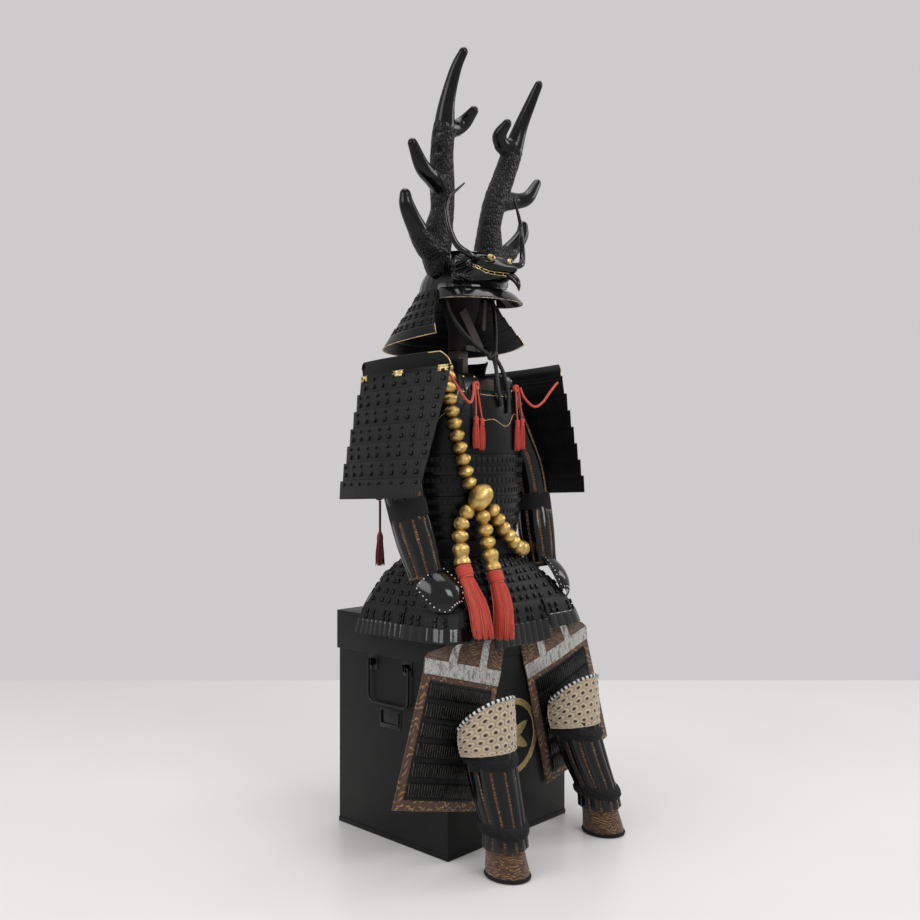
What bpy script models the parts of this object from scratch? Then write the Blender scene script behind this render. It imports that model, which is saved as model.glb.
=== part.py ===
"""Samurai armour seated on its lacquered armour box, at real size. Metres, +Z up, the wearer faces -Y.

The origin is the middle of the box's underside. Right means the wearer's right, which is -X.
"""
import math

import bmesh
import bpy
from mathutils import Vector

# Driving sizes
GAP = 0.0004
BOX_WIDTH = 0.448
BOX_DEPTH = 0.394
BOX_HEIGHT = 0.550
BOX_WALL = 0.010
LID_WALL = 0.007
LID_DROP = 0.099
LID_OVERHANG = 0.0045
PLATE = 0.003
CLOTH = 0.0025
BODY_Y = -0.030
WAIST_Z = 0.690
CHEST_TOP_Z = 1.120
BACK_TOP_Z = 1.135
STRAP_TOP_Z = 1.158
HELMET_Y = -0.026
BOWL_RIM_Z = 1.366
BOWL_TOP_Z = 1.462

# The cuirass in plan: height, half width, half depth
TORSO = (
    (0.690, 0.150, 0.112),
    (0.760, 0.157, 0.119),
    (0.860, 0.170, 0.127),
    (0.960, 0.177, 0.130),
    (1.060, 0.172, 0.128),
    (1.140, 0.160, 0.118),
)

MATERIALS = {
    "black_lacquer": ((0.012, 0.013, 0.014), 0.18, 0.0),
    "black_iron": ((0.030, 0.032, 0.033), 0.42, 0.3),
    "matt_black_plate": ((0.035, 0.037, 0.038), 0.55, 0.0),
    "box_lacquer": ((0.028, 0.029, 0.029), 0.45, 0.0),
    "black_cloth": ((0.014, 0.014, 0.016), 0.85, 0.0),
    "brown_brocade": ((0.170, 0.082, 0.030), 0.75, 0.0),
    "silver_leather": ((0.560, 0.550, 0.530), 0.35, 0.4),
    "tan_quilt": ((0.480, 0.400, 0.290), 0.85, 0.0),
    "head_cloth": ((0.160, 0.110, 0.095), 0.85, 0.0),
    "dark_wood": ((0.050, 0.038, 0.030), 0.60, 0.0),
    "gold_lacquer": ((0.560, 0.400, 0.130), 0.30, 0.5),
    "red_silk": ((0.600, 0.075, 0.045), 0.65, 0.0),
    "wine_silk": ((0.160, 0.015, 0.020), 0.70, 0.0),
}


def material(name):
    found = bpy.data.materials.get(name)
    if found:
        return found
    colour, roughness, metallic = MATERIALS[name]
    made = bpy.data.materials.new(name)
    made.use_nodes = True
    shader = made.node_tree.nodes["Principled BSDF"]
    shader.inputs["Base Color"].default_value = (*colour, 1)
    shader.inputs["Roughness"].default_value = roughness
    shader.inputs["Metallic"].default_value = metallic
    return made


def add_object(name, data, finish):
    made = bpy.data.objects.new(name, data)
    data.materials.append(material(finish))
    bpy.context.scene.collection.objects.link(made)
    return made


def mesh_object(name, points, faces, finish, smooth=True):
    data = bpy.data.meshes.new(name)
    data.from_pydata([tuple(p) for p in points], [], faces)
    if smooth:
        data.shade_smooth()
        data.set_sharp_from_angle(angle=math.radians(40))
    return add_object(name, data, finish)


def between(low, high, share):
    return low + (high - low) * share


def shares(count):
    """Evenly spaced values from 0 to 1, both ends included."""
    return [i / (count - 1) for i in range(count)]


def table_at(table, key):
    """Reads a table whose rows start with a rising key, with straight lines between its rows."""
    if key <= table[0][0]:
        return table[0][1:]
    for low, high in zip(table, table[1:]):
        if key <= high[0]:
            share = (key - low[0]) / (high[0] - low[0])
            return tuple(between(a, b, share) for a, b in zip(low[1:], high[1:]))
    return table[-1][1:]


def smooth_route(points, count):
    """Points spread along a Catmull-Rom curve through the given ones."""
    points = [Vector(p) for p in points]
    padded = [2 * points[0] - points[1], *points, 2 * points[-1] - points[-2]]
    spans = len(points) - 1
    route = []
    for share in shares(count):
        span = min(int(share * spans), spans - 1)
        t = share * spans - span
        a, b, c, d = padded[span : span + 4]
        curve = 2 * b + (c - a) * t + (2 * a - 5 * b + 4 * c - d) * t**2
        route.append((curve + (3 * b - a - 3 * c + d) * t**3) / 2)
    return route


def mirrored(points, side):
    return [Vector((side * p[0], p[1], p[2])) for p in points]


def sheet(name, rows, thickness, finish, outwards, closed=False):
    """A wall on a grid of points. It grows along the face normals when outwards is 1, and against them when it is -1."""
    wide = len(rows[0])
    points = [p for row in rows for p in row]
    faces = []
    for i in range(len(rows) - 1):
        for j in range(wide if closed else wide - 1):
            k = (j + 1) % wide
            faces.append((i * wide + j, i * wide + k, (i + 1) * wide + k, (i + 1) * wide + j))
    made = mesh_object(name, points, faces, finish)
    wall = made.modifiers.new("wall", "SOLIDIFY")
    wall.thickness = thickness
    wall.offset = outwards
    wall.use_even_offset = True
    wall.use_quality_normals = True
    return made


def loft(name, rings, finish):
    """A closed solid through rings of the same number of points, listed from its foot to its head."""
    wide = len(rings[0])
    points = [p for ring in rings for p in ring]
    last = (len(rings) - 1) * wide
    faces = [tuple(reversed(range(wide))), tuple(range(last, last + wide))]
    for i in range(len(rings) - 1):
        for j in range(wide):
            k = (j + 1) % wide
            faces.append((i * wide + j, i * wide + k, (i + 1) * wide + k, (i + 1) * wide + j))
    return mesh_object(name, points, faces, finish)


def turned(name, centre, profile, sides, finish):
    """A solid turned about a vertical axis: profile rows are height and radius, from the foot up."""
    rings = []
    for height, radius in profile:
        ring = []
        for j in range(sides):
            angle = 2 * math.pi * j / sides
            ring.append(Vector((centre[0] + radius * math.cos(angle), centre[1] + radius * math.sin(angle), height)))
        rings.append(ring)
    return loft(name, rings, finish)


def block(name, low, high, finish):
    corners = [Vector((x, y, z)) for z in (low[2], high[2]) for x, y in
               ((low[0], low[1]), (high[0], low[1]), (high[0], high[1]), (low[0], high[1]))]
    return loft(name, [corners[:4], corners[4:]], finish)


def cord_tube(name, points, radius, finish):
    """A free cord: a curve with a round section of 8 sides and filled ends."""
    data = bpy.data.curves.new(name, "CURVE")
    data.dimensions = "3D"
    data.bevel_depth = radius
    data.bevel_resolution = 2
    data.use_fill_caps = True
    spline = data.splines.new("POLY")
    spline.points.add(len(points) - 1)
    for point, place in zip(spline.points, points):
        point.co = (*place, 1)
    return add_object(name, data, finish)


def frames(points):
    """A direction and two crossways directions at each point of a route, turned as little as possible."""
    first = (points[1] - points[0]).normalized()
    across = first.cross(Vector((0.3, 0.2, 1)).normalized()).normalized()
    found = []
    for i in range(len(points)):
        along = (points[min(i + 1, len(points) - 1)] - points[max(i - 1, 0)]).normalized()
        across = (across - along * across.dot(along)).normalized()
        found.append((along, across, along.cross(across)))
    return found


def round_rings(points, radii, sides):
    """Rings round a route, for loft."""
    rings = []
    for place, radius, (_, across, up) in zip(points, radii, frames(points)):
        ring = []
        for j in range(sides):
            angle = 2 * math.pi * j / sides
            ring.append(place + (across * math.cos(angle) + up * math.sin(angle)) * radius)
        rings.append(ring)
    return rings


def bar(name, points, radii, finish, sides=6):
    """A round bar of changing thickness along a route."""
    return loft(name, round_rings([Vector(p) for p in points], radii, sides), finish)


def join_or_cut(target, cutter, operation):
    """A Boolean with a helper that is left out of the object."""
    cutter.hide_render = True
    cutter.display_type = "WIRE"
    boolean = target.modifiers.new(cutter.name, "BOOLEAN")
    boolean.operation = operation
    boolean.object = cutter
    boolean.solver = "EXACT"


def cut(target, cutter):
    join_or_cut(target, cutter, "DIFFERENCE")


def join(target, piece):
    join_or_cut(target, piece, "UNION")


def clear_scene():
    for old in list(bpy.data.objects):
        bpy.data.objects.remove(old)


# The armour box with its lid, drop handles and lower loops
HANDLE_HALF = 0.072
HANDLE_PIVOT_Z = 0.434
HANDLE_DROP = 0.098
HANDLE_WIRE = 0.0035
HANDLE_OFF = 0.0095
LUG_HALF = 0.005
LUG_REACH = 0.016
LUG_BORE = 0.0042
LOOP_HALF = 0.034
LOOP_TOP_Z = 0.318
LOOP_FOOT_Z = 0.286
LOOP_BAR = 0.003
BITE = 0.001


def box_body():
    half_x, half_y = BOX_WIDTH / 2, BOX_DEPTH / 2
    top = BOX_HEIGHT - LID_WALL - GAP
    body = block("box_body", (-half_x, -half_y, 0), (half_x, half_y, top), "box_lacquer")
    hollow = block("box_hollow", (-half_x + BOX_WALL, -half_y + BOX_WALL, BOX_WALL),
                   (half_x - BOX_WALL, half_y - BOX_WALL, top + BOX_WALL), "box_lacquer")
    cut(body, hollow)
    for side in (-1, 1):
        for end in (-1, 1):
            add_lug(body, side, end)
        add_loop(body, side)
    return body


def add_lug(body, side, end):
    """An ear on the box's side that a handle's end turns in."""
    face = side * BOX_WIDTH / 2
    across = end * (HANDLE_HALF - 0.010)
    low_x, high_x = sorted((face - side * BITE, face + side * LUG_REACH))
    ear = block(f"ear_{side}_{end}", (low_x, across - LUG_HALF, HANDLE_PIVOT_Z - 0.009),
                (high_x, across + LUG_HALF, HANDLE_PIVOT_Z + 0.009), "black_iron")
    ring = []
    for y in (across - 2 * LUG_HALF, across + 2 * LUG_HALF):
        ring.append([Vector((face + side * HANDLE_OFF + LUG_BORE * math.cos(a), y,
                             HANDLE_PIVOT_Z - LUG_BORE * math.sin(a)))
                     for a in (2 * math.pi * (j + 0.5) / 8 for j in range(8))])
    bore = loft(f"bore_{side}_{end}", ring, "black_iron")
    cut(ear, bore)
    join(body, ear)


def add_loop(body, side):
    """A fixed square loop under the handle, for the packing cord."""
    face = side * BOX_WIDTH / 2
    low_x, high_x = sorted((face - side * BITE, face + side * 2 * LOOP_BAR))
    frame = block(f"loop_{side}", (low_x, -LOOP_HALF, LOOP_FOOT_Z), (high_x, LOOP_HALF, LOOP_TOP_Z), "black_iron")
    low_x, high_x = sorted((face - side * 2 * BITE, face + side * 4 * LOOP_BAR))
    gap = block(f"loop_gap_{side}", (low_x, -LOOP_HALF + 2 * LOOP_BAR, LOOP_FOOT_Z + 2 * LOOP_BAR),
                (high_x, LOOP_HALF - 2 * LOOP_BAR, LOOP_TOP_Z + LOOP_BAR), "black_iron")
    cut(frame, gap)
    join(body, frame)


def box_lid():
    half_x, half_y = BOX_WIDTH / 2 + LID_OVERHANG, BOX_DEPTH / 2 + LID_OVERHANG
    lid = block("box_lid", (-half_x, -half_y, BOX_HEIGHT - LID_DROP), (half_x, half_y, BOX_HEIGHT), "box_lacquer")
    inner = (BOX_WIDTH / 2 + GAP, BOX_DEPTH / 2 + GAP)
    hollow = block("lid_hollow", (-inner[0], -inner[1], BOX_HEIGHT - 2 * LID_DROP),
                   (inner[0], inner[1], BOX_HEIGHT - LID_WALL), "box_lacquer")
    cut(lid, hollow)
    return lid


def box_handle(side, name):
    """A drop handle: its two ends turn inwards through the ears."""
    x = side * (BOX_WIDTH / 2 + HANDLE_OFF)
    top, foot = HANDLE_PIVOT_Z, HANDLE_PIVOT_Z - HANDLE_DROP
    corner = 0.020
    half = [(HANDLE_HALF - 0.018, top), (HANDLE_HALF - 0.003, top), (HANDLE_HALF, top - 0.004),
            (HANDLE_HALF, foot + corner), (HANDLE_HALF - 0.006, foot + 0.006), (HANDLE_HALF - corner, foot)]
    route = [(x, y, z) for y, z in half] + [(x, -y, z) for y, z in reversed(half)]
    bar(name, route, [HANDLE_WIRE] * len(route), "black_iron")


# The wooden stand inside the suit
POST_HALF = 0.018
POST_Y = 0.000
BAR_HALF = 0.125
BAR_DEEP = 0.014
BAR_DROP = 0.030
# Head block, turned: height, radius
HEAD_PROFILE = ((1.225, 0.032), (1.285, 0.034), (1.345, 0.050), (1.395, 0.058), (1.430, 0.043),
                (BOWL_TOP_Z - PLATE - GAP, 0.010))


def stand():
    cross = block("stand_cross", (-POST_HALF, POST_Y - 2 * POST_HALF, BOX_HEIGHT + GAP),
                  (POST_HALF, POST_Y, HEAD_PROFILE[0][0] - GAP), "dark_wood")
    arms = block("stand_arms", (-BAR_HALF, POST_Y - POST_HALF - BAR_DEEP, STRAP_TOP_Z - GAP - BAR_DROP),
                 (BAR_HALF, POST_Y - POST_HALF + BAR_DEEP, STRAP_TOP_Z - GAP), "dark_wood")
    join(cross, arms)
    turned("stand_head", (0, HELMET_Y), HEAD_PROFILE, 10, "head_cloth")


# The cuirass
def torso_point(angle, z, out=0.0):
    """A point of the cuirass. The angle runs from the middle of the chest towards the wearer's left."""
    half_width, half_depth = table_at(TORSO, z)
    return Vector(((half_width + out) * math.sin(angle), BODY_Y - (half_depth + out) * math.cos(angle), z))


def lame_heights(top, foot, count, lap):
    """Two heights for each lame, its top and its foot, and which share of the step each stands out by."""
    pitch = (top - foot) / count
    rows = []
    for i in range(count):
        rows.append((top - i * pitch + (lap if i else 0), 1.0))
        rows.append((top - (i + 1) * pitch + (2 * lap if i < count - 1 else 0), 0.0))
    return rows


LAP = 0.0012
LAME_STEP = 0.003
SIDE_SEAM = math.pi / 2 - 0.0065


def cuirass_half(name, top_z, plate_foot_z, plate_spread, facing):
    """Facing is 0 for the chest and pi for the back. Above the armholes the plate narrows to plate_spread."""
    rows = []
    columns = 11
    for share in shares(4):
        z = between(top_z, plate_foot_z, share)
        curve = math.sin(math.radians(90) * share)
        spread = between(plate_spread, SIDE_SEAM, curve**2.2)
        row = []
        for across in shares(columns):
            angle = between(-spread, spread, across)
            dip = 0.012 * (1 - (2 * across - 1) ** 2) * (1 - share)
            row.append(torso_point(facing + angle, z - dip, LAME_STEP * share))
        rows.append(row)
    for z, step in lame_heights(plate_foot_z - LAP, WAIST_Z, 5, LAP):
        rows.append([torso_point(facing + between(-SIDE_SEAM, SIDE_SEAM, across), z, LAME_STEP * step + LAME_STEP)
                     for across in shares(columns)])
    return sheet(name, rows, PLATE, "black_lacquer", 1)


STRAP_OUT = 0.0016
STRAP_ANGLES = (20, 28, 36)
# The level stretch over the shoulder: y
STRAP_LEVEL = (-0.098, -0.050, 0.000, 0.040)


def shoulder_strap(side, name):
    """A stiff strap from the outside of the chest plate, over the stand's arm, to the outside of the back plate."""
    columns = []
    for degrees in STRAP_ANGLES:
        angle = math.radians(degrees)
        front = [torso_point(angle, z, STRAP_OUT) for z in (1.088, CHEST_TOP_Z)]
        back = [torso_point(math.pi - angle, z, STRAP_OUT) for z in (BACK_TOP_Z, 1.105)]
        x = front[1].x
        level = [Vector((x, y, STRAP_TOP_Z)) for y in STRAP_LEVEL]
        columns.append([*front, Vector((x, front[1].y + 0.012, 1.146)), *level,
                        Vector((x, back[0].y - 0.010, 1.152)), *back])
    rows = [mirrored(row, side) for row in zip(*columns)]
    sheet(name, rows, PLATE, "black_lacquer", side)


COLLAR_RADIUS = 0.070
COLLAR_FOOT_Z = STRAP_TOP_Z + PLATE + 2 * GAP


def collar():
    """A standing collar round the back of the neck, open in front."""
    rows = []
    for z, flare in ((COLLAR_FOOT_Z, 0.0), (COLLAR_FOOT_Z + 0.018, 0.003), (COLLAR_FOOT_Z + 0.034, 0.009)):
        row = []
        for share in shares(13):
            angle = math.radians(between(-55, 235, share))
            radius = COLLAR_RADIUS + flare
            row.append(Vector((radius * math.cos(angle), BODY_Y + 0.010 + 0.9 * radius * math.sin(angle), z)))
        rows.append(row)
    sheet("collar", rows, PLATE, "black_cloth", 1)


SASH_TOP_Z = 0.738
SASH_FOOT_Z = 0.700
SASH_OUT = 0.0067
SASH_THICK = 0.003
SASH_SIDES = 20


def waist_sash():
    rows = []
    for z, bulge in ((SASH_FOOT_Z, 0.0), (0.719, 0.001), (SASH_TOP_Z, 0.0)):
        rows.append([torso_point(2 * math.pi * j / SASH_SIDES, z, SASH_OUT + bulge) for j in range(SASH_SIDES)])
    sheet("waist_sash", rows, SASH_THICK, "black_cloth", 1, closed=True)


# The hanging skirt of laced plates: seven sections of five lames
SKIRT_TOP_Z = WAIST_Z + 0.004
SKIRT_KNEE_Z = 0.5645
SKIRT_WAIST_OUT = 0.0047
SKIRT_CLEAR = 0.018
SKIRT_FLARE = 0.022
SKIRT_BEND = 0.66
SKIRT_HUMP = 0.012
SKIRT_CORNER = 10.0
SKIRT_LAMES = 5
SKIRT_STEP = 0.003
LID_HALF_X = BOX_WIDTH / 2 + LID_OVERHANG
LID_HALF_Y = BOX_DEPTH / 2 + LID_OVERHANG
# The foot of the back sections, which end on the lid
REST_HALF_X = 0.210
REST_HALF_Y = 0.186
REST_CORNER = 4.0
REST_Z = 0.5555
# Sections by the wearer's compass, 0 at the front and towards the left: name, middle and half angle, foot height,
# columns. A column of points falls on each corner of the lid, which is at 48.6 and 131.4 degrees.
SECTIONS = (
    ("skirt_front", 0, 24.3, 0.484, 5),
    ("skirt_front_left", 48.6, 23.9, 0.512, 5),
    ("skirt_front_right", -48.6, 23.9, 0.512, 5),
    ("skirt_side_left", 90, 17.1, 0.510, 4),
    ("skirt_side_right", -90, 17.1, 0.510, 4),
    ("skirt_back_left", 143.6, 36.1, REST_Z, 7),
    ("skirt_back_right", -143.6, 36.1, REST_Z, 7),
)


def rounded_square(angle, half_x, half_y, corner):
    """A point of a square with rounded corners, in plan, at this compass angle."""
    sine, cosine = math.sin(angle), math.cos(angle)
    reach = (abs(sine / half_x) ** corner + abs(cosine / half_y) ** corner) ** (-1 / corner)
    return Vector((reach * sine, -reach * cosine, 0))


def skirt_slope(angle, edge, edge_z, part):
    """The stretch from the waist out to this edge."""
    place = torso_point(angle, WAIST_Z, SKIRT_WAIST_OUT).lerp(edge, part)
    place.z = between(SKIRT_TOP_Z, edge_z, part) + SKIRT_HUMP * math.sin(math.pi * part)
    return place


def skirt_point(angle, share, out, foot_z):
    """Share runs from 0 at the waist to 1 at the foot, which is on the lid or hangs over its edge."""
    knee = rounded_square(angle, LID_HALF_X + SKIRT_CLEAR, LID_HALF_Y + SKIRT_CLEAR, SKIRT_CORNER)
    if foot_z == REST_Z:
        place = skirt_slope(angle, rounded_square(angle, REST_HALF_X, REST_HALF_Y, REST_CORNER), REST_Z, share)
    elif share < SKIRT_BEND:
        place = skirt_slope(angle, knee, SKIRT_KNEE_Z, share / SKIRT_BEND)
    else:
        wide = SKIRT_CLEAR + SKIRT_FLARE
        foot = rounded_square(angle, LID_HALF_X + wide, LID_HALF_Y + wide, SKIRT_CORNER)
        part = (share - SKIRT_BEND) / (1 - SKIRT_BEND)
        place = knee.lerp(foot, part)
        place.z = between(SKIRT_KNEE_Z, foot_z, part)
    away = Vector((place.x, place.y - BODY_Y, 0)).normalized()
    return place + (away * 0.8 + Vector((0, 0, 0.6))) * out


def skirt_section(name, middle, half, foot_z, columns):
    rows = []
    for height, step in lame_heights(0.0, -1.0, SKIRT_LAMES, 0.006):
        share = min(max(-height, 0.0), 1.0)
        row = []
        for across in shares(columns):
            angle = math.radians(middle + between(-half, half, across))
            row.append(skirt_point(angle, share, SKIRT_STEP * step, foot_z))
        rows.append(row)
    sheet(name, rows, PLATE, "matt_black_plate", 1)


# The shoulder guards
SODE_LAMES = 7
SODE_STEP = 0.004
SODE_BULGE = 0.0176
# Corners of the wearer's left guard: front top, back top, front foot, back foot
SODE_FRONT_TOP = Vector((0.2065, -0.1950, 1.160))
SODE_BACK_TOP = Vector((0.2065, 0.1200, 1.148))
SODE_FRONT_FOOT = Vector((0.3170, -0.1920, 0.852))
SODE_BACK_FOOT = Vector((0.2750, 0.1320, 0.840))
CROWN_RISE = 0.036
CROWN_LEAN = 0.014


def sode_point(side, across, down, out=0.0):
    """Across runs from the front edge to the back one, and down from the top to the foot."""
    top = SODE_FRONT_TOP.lerp(SODE_BACK_TOP, across)
    foot = SODE_FRONT_FOOT.lerp(SODE_BACK_FOOT, across)
    place = top.lerp(foot, down)
    place.x += SODE_BULGE * (1 - (2 * across - 1) ** 2) + out
    return Vector((side * place.x, place.y, place.z))


def sode(side, name):
    rows = []
    for height, step in lame_heights(0.0, -1.0, SODE_LAMES, 0.005):
        down = min(max(-height, 0.0), 1.0)
        rows.append([sode_point(side, across, down, SODE_STEP * step) for across in shares(5)])
    sheet(name, rows, PLATE, "matt_black_plate", side)


def sode_crown(side, name):
    """The stiff plate above the lames: its two top corners are rounded and it leans out a little."""
    rows = []
    for rise in shares(4):
        row = []
        for across in (0.0, 0.06, 0.25, 0.5, 0.75, 0.94, 1.0):
            end = 1 if across in (0.0, 1.0) else 0
            inset = 0.022 * end * (1 - math.sqrt(1 - (0.96 * rise) ** 2))
            place = sode_point(side, across, 0.0, SODE_STEP)
            place += Vector((side * CROWN_LEAN * rise**2, inset if across < 0.5 else -inset,
                             GAP + CROWN_RISE * rise * (1 - 0.14 * end)))
            row.append(place)
        rows.append(row)
    sheet(name, rows, PLATE, "black_lacquer", -side)


# The sleeves and hand guards
# Wearer's left sleeve: x, y, height, radius across, radius front to back
SLEEVE = (
    (0.178, -0.012, 1.124, 0.033, 0.043),
    (0.192, -0.018, 1.080, 0.040, 0.050),
    (0.2195, -0.030, 1.005, 0.0425, 0.051),
    (0.2395, -0.050, 0.925, 0.044, 0.051),
    (0.2395, -0.073, 0.833, 0.042, 0.047),
    (0.2285, -0.096, 0.745, 0.041, 0.046),
    (0.2195, -0.117, 0.672, 0.035, 0.040),
    (0.2185, -0.121, 0.655, 0.038, 0.043),
)
SLEEVE_SIDES = 10


def tube_rows(table, side, sides, out=0.0):
    """Level rings on a table of centres and radii, tipped to follow the route."""
    rows = []
    for i, (x, y, z, wide, deep) in enumerate(table):
        before, after = table[max(i - 1, 0)], table[min(i + 1, len(table) - 1)]
        along = Vector((after[0] - before[0], after[1] - before[1], after[2] - before[2])).normalized()
        forward = Vector((0, -1, 0))
        forward = (forward - along * forward.dot(along)).normalized()
        across = forward.cross(along).normalized()
        ring = []
        for j in range(sides):
            angle = 2 * math.pi * j / sides
            spoke = across * (wide + out) * math.sin(angle) + forward * (deep + out) * math.cos(angle)
            place = Vector((x, y, z)) + spoke
            ring.append(Vector((side * place.x, place.y, place.z)))
        rows.append(ring)
    return rows


def sleeve(side, name):
    sheet(name, tube_rows(SLEEVE, side, SLEEVE_SIDES), CLOTH, "brown_brocade", side, closed=True)


HAND_CENTRE = Vector((0.2215, -0.1665, 0.6340))
# The sleeve's end, a little longer, which the hand guard is cut back from
CUFF = (SLEEVE[-3], SLEEVE[-2], (0.2184, -0.1220, 0.6530, 0.038, 0.043))
HAND_ALONG = Vector((-0.16, -0.76, -0.62)).normalized()
HAND_UP = Vector((0.55, -0.42, 0.72))
HAND_LENGTH = 0.118
HAND_WIDTH = 0.094
HAND_DOME = 0.026


def hand_guard(side, name):
    """A domed plate over the back of the hand."""
    up = (HAND_UP - HAND_ALONG * HAND_UP.dot(HAND_ALONG)).normalized()
    across = HAND_ALONG.cross(up).normalized()
    rows = []
    for down in shares(7):
        row = []
        along = 2 * down - 1
        half = HAND_WIDTH / 2 * (0.74 + 0.26 * math.cos(along * 1.3))
        half *= 1 - 0.42 * max(0.0, along - 0.55) / 0.45
        for share in shares(7):
            wide = 2 * share - 1
            dome = HAND_DOME * (1 - wide**2) * (1 - 0.35 * along**2) - 0.012 * max(0.0, along) ** 2
            place = HAND_CENTRE + HAND_ALONG * (HAND_LENGTH / 2 * along) + across * (half * wide) + up * dome
            row.append(Vector((side * place.x, place.y, place.z)))
        rows.append(row)
    guard = sheet(name, rows, PLATE, "black_lacquer", -side)
    cuff = tube_rows(CUFF, side, SLEEVE_SIDES, 2 * GAP)
    cut(guard, loft(f"{name}_cuff", cuff[::-side], "black_lacquer"))


# The thigh guards: two splayed panels that lie on the lid and hang down the front of the box
THIGH_THICK = 0.0035
THIGH_FRONT_Y = -LID_HALF_Y - GAP
THIGH_BEND = 0.0012
THIGH_SAG = 0.006
THIGH_TURN = THIGH_BEND * math.pi / 2
THIGH_TOP_Z = BOX_HEIGHT + GAP - THIGH_BEND
BAND_OUT = THIGH_THICK + GAP
BAND_THICK = 0.0015
SPLINT_ROWS = 6
SPLINT_RISE = 0.002
# Wearer's left panel, unrolled: row, inner x, inner height, outer x, outer height
THIGH = (
    (0, 0.012, 0.640, 0.150, 0.640),
    (1, 0.012, 0.5560, 0.218, 0.5560),
    (2, 0.012, THIGH_TOP_Z + THIGH_TURN, 0.220, THIGH_TOP_Z + THIGH_TURN),
    (3, 0.012, THIGH_TOP_Z + THIGH_TURN / 2, 0.220, THIGH_TOP_Z + THIGH_TURN / 2),
    (4, 0.012, THIGH_TOP_Z, 0.220, THIGH_TOP_Z),
    (5, 0.018, 0.525, 0.225, 0.5120),
    (6, 0.023, 0.507, 0.292, 0.5000),
    (7, 0.046, 0.420, 0.3065, 0.490),
    (8, 0.058, 0.384, 0.3115, 0.456),
    (9, 0.098, 0.241, 0.360, 0.3125),
    (10, 0.137, 0.098, 0.408, 0.169),
)


def thigh_point(side, across, row, out=0.0):
    """Height above the lid's edge is turned back to lie on the lid."""
    inner_x, inner_z, outer_x, outer_z = table_at(THIGH, row)
    x = between(inner_x, outer_x, across)
    height = between(inner_z, outer_z, across)
    sag = THIGH_SAG * math.sin(math.pi * across) * min(1.0, max(0.0, (0.50 - height) / 0.1))
    over = height - THIGH_TOP_Z
    if over <= 0:
        return Vector((side * x, THIGH_FRONT_Y - sag - out, height))
    if over < THIGH_TURN:
        angle = over / THIGH_BEND
        reach = THIGH_BEND + out
        return Vector((side * x, THIGH_FRONT_Y + THIGH_BEND - reach * math.cos(angle),
                       THIGH_TOP_Z + reach * math.sin(angle)))
    return Vector((side * x, THIGH_FRONT_Y + THIGH_BEND + over - THIGH_TURN, THIGH_TOP_Z + THIGH_BEND + out))


def thigh_panel(side, name):
    rows = [[thigh_point(side, across, row[0]) for across in shares(5)] for row in THIGH]
    sheet(name, rows, THIGH_THICK, "brown_brocade", -side)


def thigh_band(side, name):
    """The broad silver leather band across the panel."""
    rows = [[thigh_point(side, across, row, BAND_OUT) for across in shares(5)] for row in (7.0, 8.0)]
    sheet(name, rows, BAND_THICK, "silver_leather", -side)


def thigh_splints(side, name):
    """The field of small splints below the band, in raised rows."""
    rows = []
    for i in range(SPLINT_ROWS):
        for share, rise in ((0.06, 0.0), (0.14, SPLINT_RISE), (0.94, SPLINT_RISE)):
            row = between(8.08, 9.85, (i + share) / SPLINT_ROWS)
            rows.append([thigh_point(side, across, row, BAND_OUT + 2 * GAP + rise)
                         for across in (0.085, 0.3625, 0.6375, 0.915)])
    sheet(name, rows, BAND_THICK, "black_lacquer", -side)


# The shin guards, knee guards and feet
# Wearer's left leg: x, y, height, radius across, radius front to back
SHIN = (
    (0.1830, -0.3357, 0.0900, 0.0440, 0.0460),
    (0.1800, -0.3267, 0.118, 0.0450, 0.0470),
    (0.1720, -0.3007, 0.180, 0.0520, 0.0520),
    (0.1670, -0.2777, 0.250, 0.0555, 0.0550),
    (0.1660, -0.2667, 0.330, 0.0560, 0.0560),
)
SHIN_OPEN = math.radians(150)


def leg_rows(table, side, spread, columns, out=0.0):
    """Level arcs round the front of the leg, from one back edge to the other."""
    rows = []
    for x, y, z, wide, deep in table:
        row = []
        for share in shares(columns):
            angle = between(-spread, spread, share)
            row.append(Vector((side * (x + (wide + out) * math.sin(angle)), y - (deep + out) * math.cos(angle), z)))
        rows.append(row)
    return rows


def shin_guard(side, name):
    sheet(name, leg_rows(SHIN, side, SHIN_OPEN, 13), PLATE, "black_lacquer", side)


# Knee guard: height in the middle, height at the back edges
KNEE_FOOT = (0.262, 0.250)
KNEE_TOP = (0.392, 0.318)
KNEE_SPREAD = math.radians(105)


def knee_guard(side, name):
    rows = []
    for up in shares(6):
        row = []
        for share in shares(11):
            angle = between(-KNEE_SPREAD, KNEE_SPREAD, share)
            edge = abs(2 * share - 1) ** 2.2
            z = between(between(KNEE_FOOT[0], KNEE_TOP[0], up), between(KNEE_FOOT[1], KNEE_TOP[1], up), edge)
            x, y, wide, deep = table_at([(r[2], r[0], r[1], r[3], r[4]) for r in SHIN], z)
            out = PLATE + 0.0014 + 0.004 * math.sin(math.pi * up)
            row.append(Vector((side * (x + (wide + out) * math.sin(angle)), y - (deep + out) * math.cos(angle), z)))
        rows.append(row)
    sheet(name, rows, 0.004, "tan_quilt", side)


# Wearer's left foot: x, y, height, radius across, radius front to back
FOOT = (
    (0.1860, -0.3477, 0.000, 0.0430, 0.0520),
    (0.1860, -0.3467, 0.012, 0.0450, 0.0540),
    (0.1845, -0.3397, 0.050, 0.0430, 0.0470),
    (0.1822, -0.3307, 0.0886, 0.0425, 0.0440),
)
FOOT_WALL = 0.004
FOOT_SOLE = 0.008


def foot_ring(row, side, shrink, height=None):
    x, y, z, wide, deep = row
    ring = []
    for j in range(14):
        angle = -side * 2 * math.pi * j / 14
        ring.append(Vector((side * x + side * (wide - shrink) * math.sin(angle) * -1,
                            y - (deep - shrink) * math.cos(angle), z if height is None else height)))
    return ring


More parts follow.
